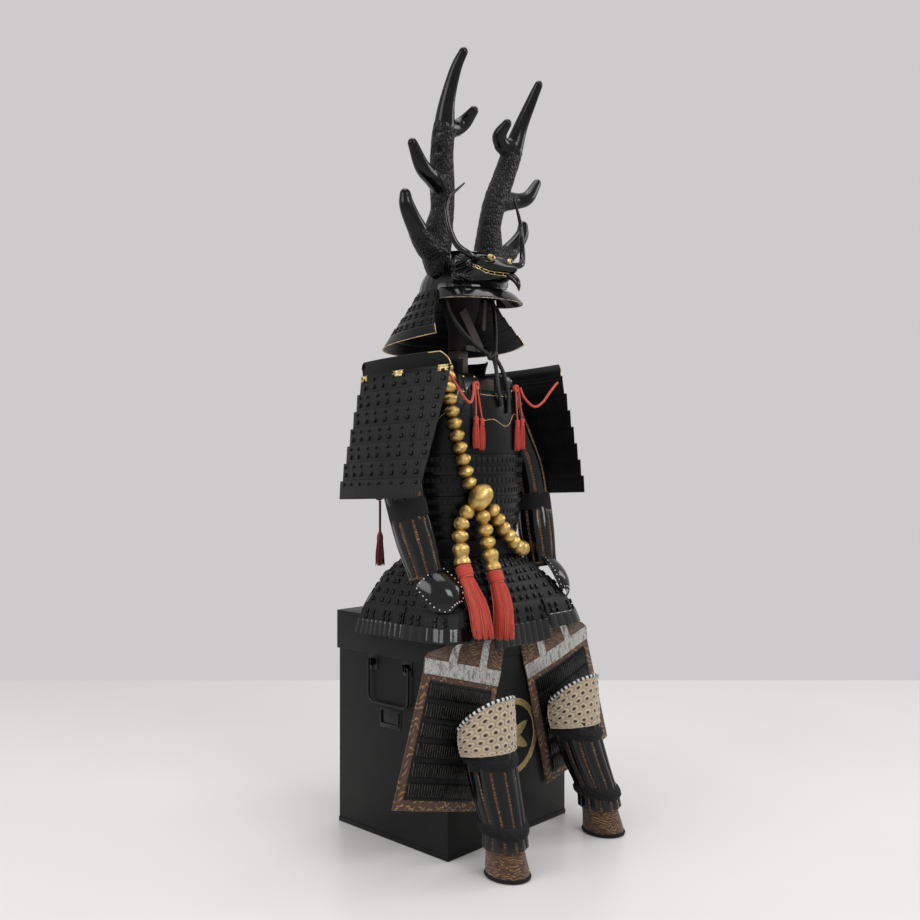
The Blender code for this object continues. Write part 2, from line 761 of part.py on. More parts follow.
def foot(side, name):
    """A short cloth-covered foot, open at the top."""
    outer = [foot_ring(row, side, 0.0) for row in FOOT]
    inner = [foot_ring(row, side, FOOT_WALL) for row in FOOT[1:]]
    inner[0] = foot_ring(FOOT[1], side, FOOT_WALL, FOOT_SOLE)
    loft(name, outer + inner[::-1], "brown_brocade")


# The helmet
# Bowl from the rim up: height, radius
BOWL = ((1.366, 0.1060), (1.400, 0.0985), (1.424, 0.0860), (1.443, 0.0670), (1.456, 0.0420), (BOWL_TOP_Z, 0.0150))
BOWL_LONG = 1.10
BOWL_SIDES = 18


def bowl_point(angle, height, radius, out=0.0):
    """The angle runs from the front towards the wearer's left."""
    return Vector(((radius + out) * math.sin(angle), HELMET_Y - (radius * BOWL_LONG + out) * math.cos(angle), height))


def bowl_rings(out):
    rings = []
    for i, (height, radius) in enumerate(BOWL):
        lift = out if i else 0.0
        rings.append([bowl_point(2 * math.pi * j / BOWL_SIDES, height + lift, radius, out) for j in range(BOWL_SIDES)])
    return rings


def helmet_bowl():
    loft("helmet_bowl", [*bowl_rings(-PLATE)[::-1], *bowl_rings(0.0)], "black_lacquer")


def bowl_clearance(name):
    """A helper a little larger than the bowl, which seats a piece on it."""
    rings = bowl_rings(GAP)
    below = [p - Vector((0, 0, BOWL_TOP_Z - BOWL_RIM_Z)) for p in rings[0]]
    return loft(name, [below, *rings], "black_lacquer")


VISOR_SPREAD = math.radians(76)
VISOR_REACH = 0.052
VISOR_Z = 1.3700
VISOR_RADIUS = 0.1051
VISOR_OUT = 0.0012


def visor():
    """The peak over the brow, standing out furthest in front."""
    rows = []
    for out in shares(4):
        row = []
        for share in shares(13):
            angle = between(-VISOR_SPREAD, VISOR_SPREAD, share)
            reach = 0.006 + VISOR_REACH * math.cos(angle / VISOR_SPREAD * math.pi / 2) ** 0.7
            place = bowl_point(angle, VISOR_Z, VISOR_RADIUS, reach * out + VISOR_OUT)
            place.z += 0.006 * math.sin(math.pi * out) - 0.032 * out**1.5 + 0.012 * (1 - math.cos(angle)) * out
            row.append(place)
        rows.append(row)
    sheet("visor", rows, 0.0025, "black_lacquer", -1)


NECK_SPREAD = (math.radians(100), math.radians(119))
NECK_LAMES = 5
NECK_TOP_Z = 1.3720
NECK_FOOT_Z = 1.2260
NECK_STEP = 0.0035
NECK_RADIUS = (0.1050 + 0.0010 - NECK_STEP, 0.1900)
NECK_COLUMNS = 15


def neck_guard_point(share, down, out=0.0):
    """Share runs from the wearer's right front end round the back to the left one, and down from the bowl's rim."""
    spread = between(NECK_SPREAD[0], NECK_SPREAD[1], down)
    angle = between(-spread, spread, share)
    radius = between(NECK_RADIUS[0], NECK_RADIUS[1], down**1.15) + out
    centre_y = between(HELMET_Y, -0.010, down)
    long = between(1.10, 1.0, down)
    lift = 0.024 * (abs(2 * share - 1) ** 3) * down
    return Vector((-radius * math.sin(angle), centre_y + radius * long * math.cos(angle),
                   between(NECK_TOP_Z, NECK_FOOT_Z, down) + lift))


def neck_guard():
    rows = []
    for height, step in lame_heights(0.0, -1.0, NECK_LAMES, 0.008):
        down = min(max(-height, 0.0), 1.0)
        rows.append([neck_guard_point(share, down, NECK_STEP * step) for share in shares(NECK_COLUMNS)])
    sheet("neck_guard", rows, PLATE, "matt_black_plate", -1)


# Wearer's left antler. Each branch: where it leaves, then x, y, height, radius of its points
BEAM = (
    (0.0780, -0.024, 1.4180, 0.0300), (0.0960, -0.031, 1.4650, 0.0380), (0.0960, -0.038, 1.5150, 0.0370),
    (0.0910, -0.048, 1.5700, 0.0300), (0.1010, -0.058, 1.6300, 0.0310), (0.1190, -0.074, 1.6980, 0.0290),
    (0.1310, -0.094, 1.7650, 0.0270), (0.1395, -0.114, 1.8250, 0.0205), (0.1455, -0.148, 1.8900, 0.0160),
    (0.1440, -0.176, 1.9370, 0.0095),
)
TINES = (
    (1, ((0.1400, -0.038, 1.4820, 0.0290), (0.1880, -0.047, 1.5230, 0.0225), (0.2180, -0.052, 1.5600, 0.0190),
         (0.2240, -0.052, 1.5920, 0.0110))),
    (4, ((0.1500, -0.073, 1.6370, 0.0230), (0.2000, -0.086, 1.6530, 0.0185), (0.2370, -0.091, 1.6960, 0.0120))),
    (6, ((0.1100, -0.109, 1.7870, 0.0185), (0.0800, -0.130, 1.8180, 0.0110))),
)
SKIN_SCALE = 1.30


def antler(side, name):
    """A branching carved antler: a skin over a tree of points."""
    points = [(side * x, y, z) for x, y, z, _ in BEAM]
    radii = [row[3] for row in BEAM]
    edges = [(i, i + 1) for i in range(len(BEAM) - 1)]
    for start, branch in TINES:
        before = start
        for x, y, z, radius in branch:
            points.append((side * x, y, z))
            radii.append(radius)
            edges.append((before, len(points) - 1))
            before = len(points) - 1
    data = bpy.data.meshes.new(name)
    data.from_pydata(points, edges, [])
    made = add_object(name, data, "black_lacquer")
    made.modifiers.new("skin", "SKIN").use_smooth_shade = True
    for vertex, radius in zip(data.skin_vertices[0].data, radii):
        vertex.radius = (SKIN_SCALE * radius, SKIN_SCALE * radius)
    data.skin_vertices[0].data[0].use_root = True
    rounding = made.modifiers.new("rounding", "SUBSURF")
    rounding.levels = rounding.render_levels = 1
    cut(made, bowl_clearance(f"{name}_seat"))


# The carved beast mask on the brow, wrapped round the front of the bowl: a mane, a head with a brow and a snout
CREST_FOOT_Z = 1.3860
CREST_TOP_Z = 1.4640
CREST_ROWS = 7
CREST_ANGLES = (-52, -40, -29, -20, -13, -6.5, 0, 6.5, 13, 20, 29, 40, 52)
CREST_BACK = 0.060
# The hooked tooth under the snout: y, height, radius
TOOTH = ((-0.1850, 1.4080, 0.0120), (-0.2120, 1.3900, 0.0110), (-0.2230, 1.3740, 0.0080), (-0.2250, 1.3580, 0.0020))
# Wearer's left horn of the mask: x, y, height, radius
HORN = (
    (0.0550, -0.1350, 1.4420, 0.0080), (0.1000, -0.1450, 1.4480, 0.0085), (0.1280, -0.1300, 1.4720, 0.0078),
    (0.1420, -0.1160, 1.5300, 0.0062), (0.1360, -0.1130, 1.5800, 0.0048), (0.0940, -0.1280, 1.6260, 0.0030),
)
HORN_POINTS = 10


def swell(value, middle, width):
    """A smooth hump, 1 at the middle."""
    return math.exp(-(((value - middle) / width) ** 2))


def crest_reach(degrees, z):
    """The mask's distance from the bowl's axis, in plan."""
    head = 0.034 * swell(degrees, 0, 22) * swell(z, 1.425, 0.030)
    snout = 0.043 * swell(degrees, 0, 8.5) * swell(z, 1.411, 0.017)
    brow = 0.010 * swell(abs(degrees), 15, 7) * swell(z, 1.452, 0.010)
    top_slope = 0.030 * max(0.0, (z - 1.440) / 0.024) ** 2
    return 0.121 + head + snout + brow - top_slope


def front_crest():
    rings = []
    for share in shares(CREST_ROWS):
        z = between(CREST_FOOT_Z, CREST_TOP_Z, share)
        spokes = [(degrees, crest_reach(degrees, z)) for degrees in CREST_ANGLES]
        spokes += [(CREST_ANGLES[-1], CREST_BACK), (CREST_ANGLES[0], CREST_BACK)]
        rings.append([Vector((reach * math.sin(math.radians(degrees)),
                              HELMET_Y - reach * math.cos(math.radians(degrees)), z)) for degrees, reach in spokes])
    crest = loft("front_crest", rings, "black_lacquer")
    tooth = [(0.0, y, z) for y, z, _ in TOOTH]
    join(crest, bar("mask_tooth", tooth, [row[2] for row in TOOTH], "black_lacquer"))
    for side in (-1, 1):
        route = smooth_route([row[:3] for row in HORN], HORN_POINTS)
        thickness = [(i, row[3]) for i, row in enumerate(HORN)]
        radii = [table_at(thickness, share * (len(HORN) - 1))[0] for share in shares(HORN_POINTS)]
        join(crest, bar(f"mask_horn_{side}", mirrored(route, side), radii, "black_lacquer"))
    cut(crest, bowl_clearance("crest_seat"))


# The string of gold beads, worn from the right shoulder to the left hip
BEAD_RADIUS = 0.0198
BEAD_NECK = 0.0070
BEAD_PITCH = 0.0300
BEAD_REST = 0.0257
HIP_REST = 0.0308
BIG_BEAD = Vector((-0.0910, -0.1790, 0.8480))
BIG_BEAD_LONG = 0.0370
BIG_BEAD_ROUND = 0.0280
BIG_BEAD_TILT = Vector((0.58, -0.25, 0.78)).normalized()
# Where the strand lies on the cuirass: compass angle, height, distance out from its plan
FRONT_STRAND = ((-33.3, 0.882, BEAD_REST), (-38.1, 0.941, BEAD_REST), (-42.9, 0.997, BEAD_REST),
                (-46.7, 1.052, BEAD_REST), (-50.3, 1.109, BEAD_REST))
BACK_STRAND = ((-132, 1.100, BEAD_REST), (-150, 1.020, BEAD_REST), (-170, 0.940, BEAD_REST), (170, 0.870, BEAD_REST),
               (146, 0.800, BEAD_REST), (118, 0.745, HIP_REST), (90, 0.713, HIP_REST), (60, 0.706, HIP_REST),
               (30.4, 0.710, HIP_REST), (17, 0.722, HIP_REST), (8.1, 0.740, HIP_REST), (0.8, 0.759, HIP_REST),
               (-5.2, 0.776, HIP_REST), (-14.5, 0.816, HIP_REST))
SHOULDER_STRAND = ((-0.138, -0.112, 1.150), (-0.120, -0.075, 1.1805), (-0.114, -0.010, 1.1825),
                   (-0.118, 0.040, 1.1800), (-0.132, 0.068, 1.148))


def strand_route():
    on_body = [[torso_point(math.radians(angle), z, out) for angle, z, out in part]
               for part in (FRONT_STRAND, BACK_STRAND)]
    return [BIG_BEAD, *on_body[0], *[Vector(p) for p in SHOULDER_STRAND], *on_body[1], BIG_BEAD]


def evenly(points, pitch):
    """Points a pitch apart, or a little less, along a curve through the given ones."""
    fine = smooth_route(points, 40 * len(points))
    lengths = [0.0]
    for a, b in zip(fine, fine[1:]):
        lengths.append(lengths[-1] + (b - a).length)
    count = round(lengths[-1] / pitch)
    spread, i = [], 0
    for k in range(count + 1):
        target = lengths[-1] * k / count
        while i < len(fine) - 2 and lengths[i + 1] < target:
            i += 1
        spread.append(fine[i].lerp(fine[i + 1], (target - lengths[i]) / (lengths[i + 1] - lengths[i])))
    return spread


def big_bead_body(name, out):
    """The large egg-shaped bead, or a helper a little larger than it."""
    points, radii = [], []
    for share in shares(7):
        angle = math.pi * between(0.04, 0.96, share)
        points.append(BIG_BEAD - BIG_BEAD_TILT * math.cos(angle) * (BIG_BEAD_LONG + out))
        radii.append(math.sin(angle) * (BIG_BEAD_ROUND + out))
    return bar(name, points, radii, "gold_lacquer", 10)


def bead_strand():
    route = evenly(strand_route(), BEAD_PITCH / 3)
    radii = [(BEAD_NECK, 0.95 * BEAD_RADIUS, 0.95 * BEAD_RADIUS)[i % 3] for i in range(len(route))]
    strand = bar("bead_strand", route, radii, "gold_lacquer")
    join(strand, big_bead_body("bead_large", 0.0))


# Bead pendants under the large bead. Distance down, radius
PENDANT_PROFILE = (
    (0.002, 0.0070), (0.012, 0.0185), (0.026, 0.0185), (0.036, 0.0080), (0.044, 0.0195), (0.058, 0.0195),
    (0.067, 0.0080), (0.075, 0.0200), (0.089, 0.0200), (0.098, 0.0090), (0.107, 0.0200), (0.121, 0.0210),
    (0.133, 0.0155), (0.143, 0.0210), (0.153, 0.0200), (0.155, 0.0130),
)
PENDANTS = {
    "right": ((-0.1120, -0.1680, 0.8260), (-0.1270, -0.1640, 0.8080), (-0.1450, -0.1640, 0.7780),
              (-0.1510, -0.1680, 0.7475), (-0.1540, -0.1740, 0.7133), (-0.1580, -0.1830, 0.6807),
              (-0.1600, -0.1880, 0.6660)),
    "left": ((-0.0880, -0.1810, 0.8188), (-0.0850, -0.1820, 0.7968), (-0.0794, -0.1840, 0.7675),
             (-0.0750, -0.1870, 0.7370), (-0.0726, -0.1940, 0.7060), (-0.0700, -0.2020, 0.6719),
             (-0.0705, -0.2060, 0.6600)),
}


def along_route(points, distance):
    """The point this far along a curve through the given ones."""
    fine = smooth_route(points, 20 * len(points))
    walked = 0.0
    for a, b in zip(fine, fine[1:]):
        step = (b - a).length
        if walked + step >= distance:
            return a.lerp(b, (distance - walked) / step)
        walked += step
    return fine[-1] + (fine[-1] - fine[-2]).normalized() * (distance - walked)


def pendant(hand):
    route = PENDANTS[hand]
    points = [along_route(route, down) for down, _ in PENDANT_PROFILE]
    made = bar(f"bead_pendant_{hand}", points, [radius for _, radius in PENDANT_PROFILE], "gold_lacquer", 8)
    cut(made, big_bead_body(f"pendant_seat_{hand}", GAP))
    return points[-1], (points[-1] - points[-2]).normalized()


# Tassels
def tassel(name, points, profile, locks, lock_route, spread, finish):
    """A turned head on a route, with locks that hang from its foot and stand apart. It is one solid."""
    data = bmesh.new()
    rings = round_rings([Vector(p) for p in points], profile, locks)
    rings.append([points[-1].lerp(p, 0.42) for p in rings[-1]])
    grid = [[data.verts.new(p) for p in ring] for ring in rings]
    data.faces.new(grid[0][::-1])
    roots = []
    for i in range(len(grid) - 1):
        for j in range(locks):
            k = (j + 1) % locks
            face = data.faces.new((grid[i][j], grid[i][k], grid[i + 1][k], grid[i + 1][j]))
            if i == len(grid) - 2:
                roots.append(face)
    roots.append(data.faces.new(grid[-1]))
    data.normal_update()
    bmesh.ops.inset_individual(data, faces=roots, thickness=spread[0], use_even_offset=False)
    before = points[-1]
    for place, widen in zip(lock_route, spread[1:]):
        grown = bmesh.ops.extrude_discrete_faces(data, faces=roots)
        roots = grown["faces"]
        for face in roots:
            for vertex in face.verts:
                vertex.co = place + (vertex.co - before) * widen
        before = place
    for face in data.faces:
        face.smooth = True
    mesh = bpy.data.meshes.new(name)
    data.to_mesh(mesh)
    data.free()
    mesh.set_sharp_from_angle(angle=math.radians(50))
    return add_object(name, mesh, finish)


BIG_TASSEL_LOCKS = 10
# How far down the collar each ring is, and its radius
BIG_COLLAR = ((2 * GAP, 0.0130), (0.0035, 0.0205), (0.0220, 0.0205), (0.0250, 0.0175), (0.0330, 0.0200))
# Where the big tassels hang: the foot of the collar, a bend, and the foot of the tassel
BIG_TASSELS = {
    "right": ((-0.1620, -0.2100, 0.6370), (-0.1630, -0.2440, 0.5930), (-0.1680, -0.2720, 0.5230)),
    "left": ((-0.0720, -0.2220, 0.6280), (-0.0860, -0.2500, 0.5860), (-0.1040, -0.2730, 0.5130)),
}


def big_tassel(hand, top, drop):
    collar_foot, bend, foot = [Vector(p) for p in BIG_TASSELS[hand]]
    points = []
    for down, _ in BIG_COLLAR:
        share = down / BIG_COLLAR[-1][0]
        straight = top + drop * down
        points.append(straight.lerp(collar_foot, share**2))
    tassel(f"big_tassel_{hand}", points, [radius for _, radius in BIG_COLLAR], BIG_TASSEL_LOCKS, [bend, foot],
           (0.0006, 1.08, 1.15), "red_silk")


# Chest cords and their small tassels, wearer's left side
KNOT = Vector((0.0765, -0.1507, 1.1250))
KNOT_SIZE = 0.0095
CORD_RADIUS = 0.0034
CHEST_CORD = ((0.0889, -0.1540, 1.1275), (0.0985, -0.1620, 1.1000), (0.1220, -0.1740, 1.0790), (0.1500, -0.1790, 1.0900),
              (0.1790, -0.1810, 1.1180), (0.2010, -0.1830, 1.1390), (0.2104, -0.1835, 1.1460))
SMALL_LOCKS = 7
# Where the stem of each tassel starts under the knot, and its head
SMALL_STEMS = ((0.0740, -0.1530, 1.1150), (0.0834, -0.1550, 1.1155))
SMALL_HEADS = ((0.0680, -0.1630, 1.0430), (0.0880, -0.1620, 1.0470))
SMALL_HEAD = ((0.000, 0.0030), (0.002, 0.0062), (0.010, 0.0066), (0.012, 0.0054), (0.017, 0.0068))


def small_tassel(side, name, number):
    """A tassel on its stem. The first of a side also holds the knot."""
    stem, head = Vector(SMALL_STEMS[number]), Vector(SMALL_HEADS[number])
    points, radii = [], []
    if number == 0:
        for up, wide in ((1.0, 0.35), (0.7, 0.85), (0.0, 1.0), (-0.7, 0.85)):
            points.append(KNOT + Vector((0, 0, KNOT_SIZE * up)))
            radii.append(KNOT_SIZE * wide)
    points += [stem, stem.lerp(head, 0.5)]
    radii += [SMALL_HEAD[0][1]] * 2
    for down, radius in SMALL_HEAD:
        points.append(head - Vector((0, 0, down)))
        radii.append(radius)
    foot = head - Vector((0, 0, 0.080))
    tassel(name, mirrored(points, side), radii, SMALL_LOCKS, mirrored([foot], side), (0.0004, 1.30), "red_silk")


def chest_cord(side, name):
    cord_tube(name, evenly(mirrored(CHEST_CORD, side), 5 * CORD_RADIUS), CORD_RADIUS, "red_silk")


# The chin cord: it comes down both sides of the neck, is tied, and its ends hang
CHIN_KNOT = Vector((0.012, -0.128, 1.205))
CHIN_RADIUS = 0.0045
CHIN_RIGHT = ((-0.0912, -0.057, 1.371), (-0.080, -0.076, 1.300), (-0.045, -0.108, 1.240))
CHIN_TAILS = (((0.026, -0.150, 1.165), (0.034, -0.1600, 1.110), (0.030, -0.1640, 1.060)),
              ((0.000, -0.150, 1.170), (-0.006, -0.1620, 1.120), (0.002, -0.1655, 1.075)))


def chin_cord():
    over = [*CHIN_RIGHT, CHIN_KNOT, *[(-x, y, z) for x, y, z in reversed(CHIN_RIGHT)]]
    route = smooth_route(over, 13)
    cord = bar("chin_cord", route, [CHIN_RADIUS] * len(route), "black_cloth")
    knot = [CHIN_KNOT + Vector((0.016 * along, 0, 0)) for along in (-1, -0.5, 0.5, 1)]
    join(cord, bar("chin_knot", knot, [0.006, 0.012, 0.012, 0.006], "black_cloth"))
    for i, tail in enumerate(CHIN_TAILS):
        route = smooth_route([CHIN_KNOT, *tail], 6)
        join(cord, bar(f"chin_tail_{i}", route, [CHIN_RADIUS] * len(route), "black_cloth"))


# The dark red cord of the back, from one shoulder guard to the other, and its tassels
BACK_CORD_RADIUS = 0.0035
BACK_KNOT = (0.0, 0.1130, 1.0200)
BACK_KNOT_RADIUS = 0.0100
BACK_LOCKS = 7
# Wearer's right half of the cord, from the shoulder guard's back edge to the knot
BACK_CORD = ((-0.2357, 0.1215, 1.0020), (-0.2050, 0.1240, 0.9250), (-0.1720, 0.1220, 0.8520), (-0.1530, 0.1180, 0.8380),
             (-0.1300, 0.1240, 0.8560), (-0.0860, 0.1430, 0.9250), (-0.0550, 0.1462, 0.9700),
             (-0.0220, 0.1290, 1.0060))
# Each tassel hangs under the lowest point: height, radius
BACK_TASSEL = ((0.8344, 0.0032), (0.7540, 0.0032), (0.7430, 0.0078), (0.7320, 0.0088))
BACK_TASSEL_FOOT = 0.6640


def back_cord():
    right = smooth_route([*BACK_CORD, BACK_KNOT], 17)
    route = [*right, *mirrored(right[-2::-1], -1)]
    radii = [BACK_CORD_RADIUS] * len(route)
    radii[len(right) - 1] = BACK_KNOT_RADIUS
    bar("back_cord", route, radii, "wine_silk")


def back_tassel(side, name):
    x, y, _ = BACK_CORD[3]
    points = [Vector((-side * x, y, z)) for z, _ in BACK_TASSEL]
    foot = Vector((-side * x, y, BACK_TASSEL_FOOT))
    tassel(name, points, [radius for _, radius in BACK_TASSEL], BACK_LOCKS, [foot], (0.0007, 1.6), "wine_silk")


def main():
    clear_scene()
    box_body()
    box_lid()
    stand()
    cuirass_half("cuirass_front", CHEST_TOP_Z, 0.955, math.radians(44), 0.0)
    cuirass_half("cuirass_back", BACK_TOP_Z, 0.965, math.radians(48), math.pi)
    collar()
    waist_sash()
    helmet_bowl()
    visor()
    neck_guard()
    front_crest()
    chin_cord()
    bead_strand()
    back_cord()
    for section in SECTIONS:
        skirt_section(*section)
    for side, hand in ((-1, "right"), (1, "left")):
        box_handle(side, f"box_handle_{hand}")
        shoulder_strap(side, f"shoulder_strap_{hand}")
        sode(side, f"shoulder_guard_{hand}")
        sode_crown(side, f"shoulder_crown_{hand}")
        sleeve(side, f"sleeve_{hand}")
        hand_guard(side, f"hand_guard_{hand}")
        thigh_panel(side, f"thigh_panel_{hand}")
        thigh_band(side, f"thigh_band_{hand}")
        thigh_splints(side, f"thigh_splints_{hand}")
        shin_guard(side, f"shin_guard_{hand}")
        knee_guard(side, f"knee_guard_{hand}")
        foot(side, f"foot_{hand}")
        antler(side, f"antler_{hand}")
        big_tassel(hand, *pendant(hand))
        chest_cord(side, f"chest_cord_{hand}")
        for number in range(len(SMALL_STEMS)):
            small_tassel(side, f"chest_tassel_{hand}_{number + 1}", number)
        back_tassel(side, f"back_tassel_{hand}")


main()
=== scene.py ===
# %% [markdown]
# # Samurai armour on its armour box
# The real object is a full suit of laced iron plates on a wooden stand, seated on the black lacquered chest that it
# is packed in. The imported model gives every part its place, so this lesson first loads it as a fixed frame, and then
# dresses it piece by piece. All sizes are in metres. The wearer faces -Y, and the wearer's left is +X.

# %% The frame
import math
import random

import bpy
from mathutils import Matrix, Vector, noise


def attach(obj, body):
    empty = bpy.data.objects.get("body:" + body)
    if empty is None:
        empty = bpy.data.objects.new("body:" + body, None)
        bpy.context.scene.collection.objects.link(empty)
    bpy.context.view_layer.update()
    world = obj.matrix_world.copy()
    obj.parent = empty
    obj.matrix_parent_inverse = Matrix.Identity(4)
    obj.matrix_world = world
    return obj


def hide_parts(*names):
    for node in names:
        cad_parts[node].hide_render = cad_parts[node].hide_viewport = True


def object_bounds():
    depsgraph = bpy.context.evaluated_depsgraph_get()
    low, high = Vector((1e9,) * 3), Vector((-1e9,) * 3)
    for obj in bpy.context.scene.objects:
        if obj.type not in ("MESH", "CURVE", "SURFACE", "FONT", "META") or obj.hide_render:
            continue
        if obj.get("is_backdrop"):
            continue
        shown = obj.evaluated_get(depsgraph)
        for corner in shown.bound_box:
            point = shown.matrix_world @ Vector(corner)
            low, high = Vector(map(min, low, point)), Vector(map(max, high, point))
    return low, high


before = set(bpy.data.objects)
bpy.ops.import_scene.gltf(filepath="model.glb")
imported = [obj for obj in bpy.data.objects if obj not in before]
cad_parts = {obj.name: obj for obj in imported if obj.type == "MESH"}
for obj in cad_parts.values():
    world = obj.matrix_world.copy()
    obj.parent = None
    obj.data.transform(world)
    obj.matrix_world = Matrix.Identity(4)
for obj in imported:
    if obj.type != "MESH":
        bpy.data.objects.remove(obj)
CAD_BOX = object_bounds()
SIDES = (("right", -1), ("left", 1))
print(len(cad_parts), "parts in the frame")

# %% [markdown]
# ## Camera
# The camera stands at the height of the breastbone and looks level, so upright edges stay upright. Its lens and place
# were worked out from the edges of the chest. A small upward shift frames the antlers without tipping the camera.

# %% Camera
CAMERA_PLACE = (-1.8785, -1.7972, 0.9295)
CAMERA_TURN = -46.655
SENSOR = 36.0
FOCAL_PIXELS = 986
PICTURE_PIXELS = 920

lens = bpy.data.cameras.new("camera")
lens.sensor_width = SENSOR
lens.lens = SENSOR * FOCAL_PIXELS / PICTURE_PIXELS
lens.shift_y = 4 / PICTURE_PIXELS
camera = bpy.data.objects.new("camera", lens)
camera.location = CAMERA_PLACE
camera.rotation_euler = (math.radians(90), 0, math.radians(CAMERA_TURN))
bpy.context.scene.collection.objects.link(camera)
bpy.context.scene.camera = camera

# %% [markdown]
# ## Light and floor
# Black lacquer shows mostly what it reflects, so the lamps are large soft panels: their reflections draw the long
# pale edges on the plates. The background is a plain pale grey, which stands for a wall from any side.

# %% Light and floor
def panel_light(name, place, size, power, target=(0, 0, 0.95)):
    data = bpy.data.lights.new(name, "AREA")
    data.shape = "RECTANGLE"
    data.size, data.size_y = size
    data.energy = power
    lamp = bpy.data.objects.new(name, data)
    lamp.location = place
    lamp.rotation_euler = (Vector(target) - Vector(place)).to_track_quat("-Z", "Y").to_euler()
    bpy.context.scene.collection.objects.link(lamp)


panel_light("window_left", (-3.4, 0.6, 2.4), (2.0, 1.6), 46)
panel_light("window_front", (-0.4, -3.4, 3.0), (1.6, 1.2), 52)
panel_light("window_right", (3.2, -1.8, 2.6), (1.2, 1.6), 30)
panel_light("ceiling", (0, 0, 4.2), (2.4, 2.4), 60)

world = bpy.data.worlds.new("room")
world.use_nodes = True
world.node_tree.nodes["Background"].inputs["Color"].default_value = (0.615, 0.60, 0.605, 1)
world.node_tree.nodes["Background"].inputs["Strength"].default_value = 1.0
bpy.context.scene.world = world
bpy.context.scene.view_settings.view_transform = "Standard"

# %% [markdown]
# ## A small language for materials
# A material is a graph of nodes. Here Python expressions write that graph: Value wraps one socket, so 1 - mask or
# spots * 0.2 add their Math nodes, and Paint.node adds every other kind of node from its settings and inputs.

# %% Values and paints
class Value:
    """A number, colour or vector on its way through a material. Arithmetic on it adds Math nodes."""

    def __init__(self, paint, socket):
        self.paint, self.socket = paint, socket

    def __add__(self, other):
        return self.paint.math("ADD", self, other)

    def __sub__(self, other):
        return self.paint.math("SUBTRACT", self, other)

    def __rsub__(self, other):
        return self.paint.math("SUBTRACT", other, self)

    def __mul__(self, other):
        return self.paint.math("MULTIPLY", self, other)

    __radd__ = __add__
    __rmul__ = __mul__


class Paint:
    """A material in the making, on one Principled shader."""

    def __init__(self, name, **constants):
        self.material = bpy.data.materials.new(name)
        self.material.use_nodes = True
        self.tree = self.material.node_tree
        self.shader = self.tree.nodes["Principled BSDF"]
        for socket, value in constants.items():
            self.set(socket.replace("_", " "), value)

    def feed(self, socket, value):
        if isinstance(value, Value):
            self.tree.links.new(value.socket, socket)
        elif isinstance(value, tuple):
            socket.default_value = (*value, 1) if len(socket.default_value) == 4 else value
        else:
            socket.default_value = value

    def set(self, socket, value):
        self.feed(self.shader.inputs[socket], value)

    def node(self, kind, settings=(), inputs=(), output=0):
        """Adds a node. Settings go first, because some of them change the sockets."""
        made = self.tree.nodes.new("ShaderNode" + kind)
        for key, value in dict(settings).items():
            setattr(made, key, value)
        for key, value in dict(inputs).items():
            self.feed(made.inputs[key], value)
        return Value(self, made.outputs[output])

    def math(self, operation, *values):
        return self.node("Math", {"operation": operation}, enumerate(values))

    def mix(self, share, a, b):
        return self.node("Mix", {"data_type": "RGBA"}, {0: share, 6: a, 7: b}, 2)

    def object_place(self):
        return self.node("TexCoord", output="Object")

    def cloth_place(self):
        return self.node("TexCoord", output="UV")

    def parts(self, vector):
        split = self.node("SeparateXYZ", (), {0: vector})
        return [Value(self, socket) for socket in split.socket.node.outputs]

    def noise(self, place, scale, detail=3.0, rough=0.5):
        return self.node("TexNoise", (), {"Vector": place, "Scale": scale, "Detail": detail, "Roughness": rough})

    def cells(self, place, scale, feature="F1"):
        return self.node("TexVoronoi", {"feature": feature}, {"Vector": place, "Scale": scale})

    def stretched(self, place, factors):
        return self.node("Mapping", (), {"Vector": place, "Scale": factors})

    def ramp(self, value, low, high):
        """0 below low, 1 above high, and smooth between them."""
        return self.node("MapRange", {"interpolation_type": "SMOOTHSTEP"}, {0: value, 1: low, 2: high})

    def sine(self, value):
        return self.math("SINE", value)

    def attribute(self, name):
        return self.node("Attribute", {"attribute_name": name}, (), 2)

    def bump(self, height, distance, strength=1.0):
        self.set("Normal", self.node("Bump", (), {"Height": height, "Distance": distance, "Strength": strength}))


FINISH = {}


def keep(finish, slot, paint):
    """Files a finished paint under a maker's name, with the model's material slot that it stands for."""
    FINISH[finish] = (paint.material, slot)


# %% [markdown]
# ## Lacquers and metals
# The suit has several blacks: a wet blue-black lacquer on the hand guards, helmet and splints, a softer one on the
# cuirass, a dull one on the laced plates, and the satin of the armour box. Each gets a fine orange-peel bump and
# roughness that drifts a little, because a perfectly even gloss looks like plastic.

# %% Lacquers
def lacquer(name, colour, roughness, drift, peel, scale=160, coat=0.0, shine=0.5):
    paint = Paint(name, Coat_Roughness=0.08, Coat_Weight=coat, Specular_IOR_Level=shine)
    place = paint.object_place()
    clouds = paint.noise(place, 7, 4)
    grain = paint.noise(place, scale, 3)
    paint.set("Base Color", paint.mix(clouds, tuple(0.75 * c for c in colour), tuple(1.25 * c for c in colour)))
    paint.set("Roughness", roughness + drift * (paint.noise(place, 26, 5) - 0.5))
    paint.bump(grain + clouds * 3, peel)
    return paint


def ribbed_plate():
    """The dull plates look made of upright scales: shallow grooves across the width, in metres on the UV map."""
    paint = Paint("matt_plate", Specular_IOR_Level=0.20)
    place, cloth = paint.object_place(), paint.cloth_place()
    across, down, _ = paint.parts(cloth)
    grooves = paint.sine(across * 520 + paint.noise(place, 18, 2) * 3)
    dust = paint.noise(place, 34, 5)
    paint.set("Base Color", paint.mix(dust, (0.0030, 0.0033, 0.0034), (0.0095, 0.0098, 0.0098)))
    paint.set("Roughness", 0.38 + 0.26 * dust)
    paint.bump(grooves * 0.25 + paint.noise(place, 240, 3) * 1.2, 0.0007)
    return paint


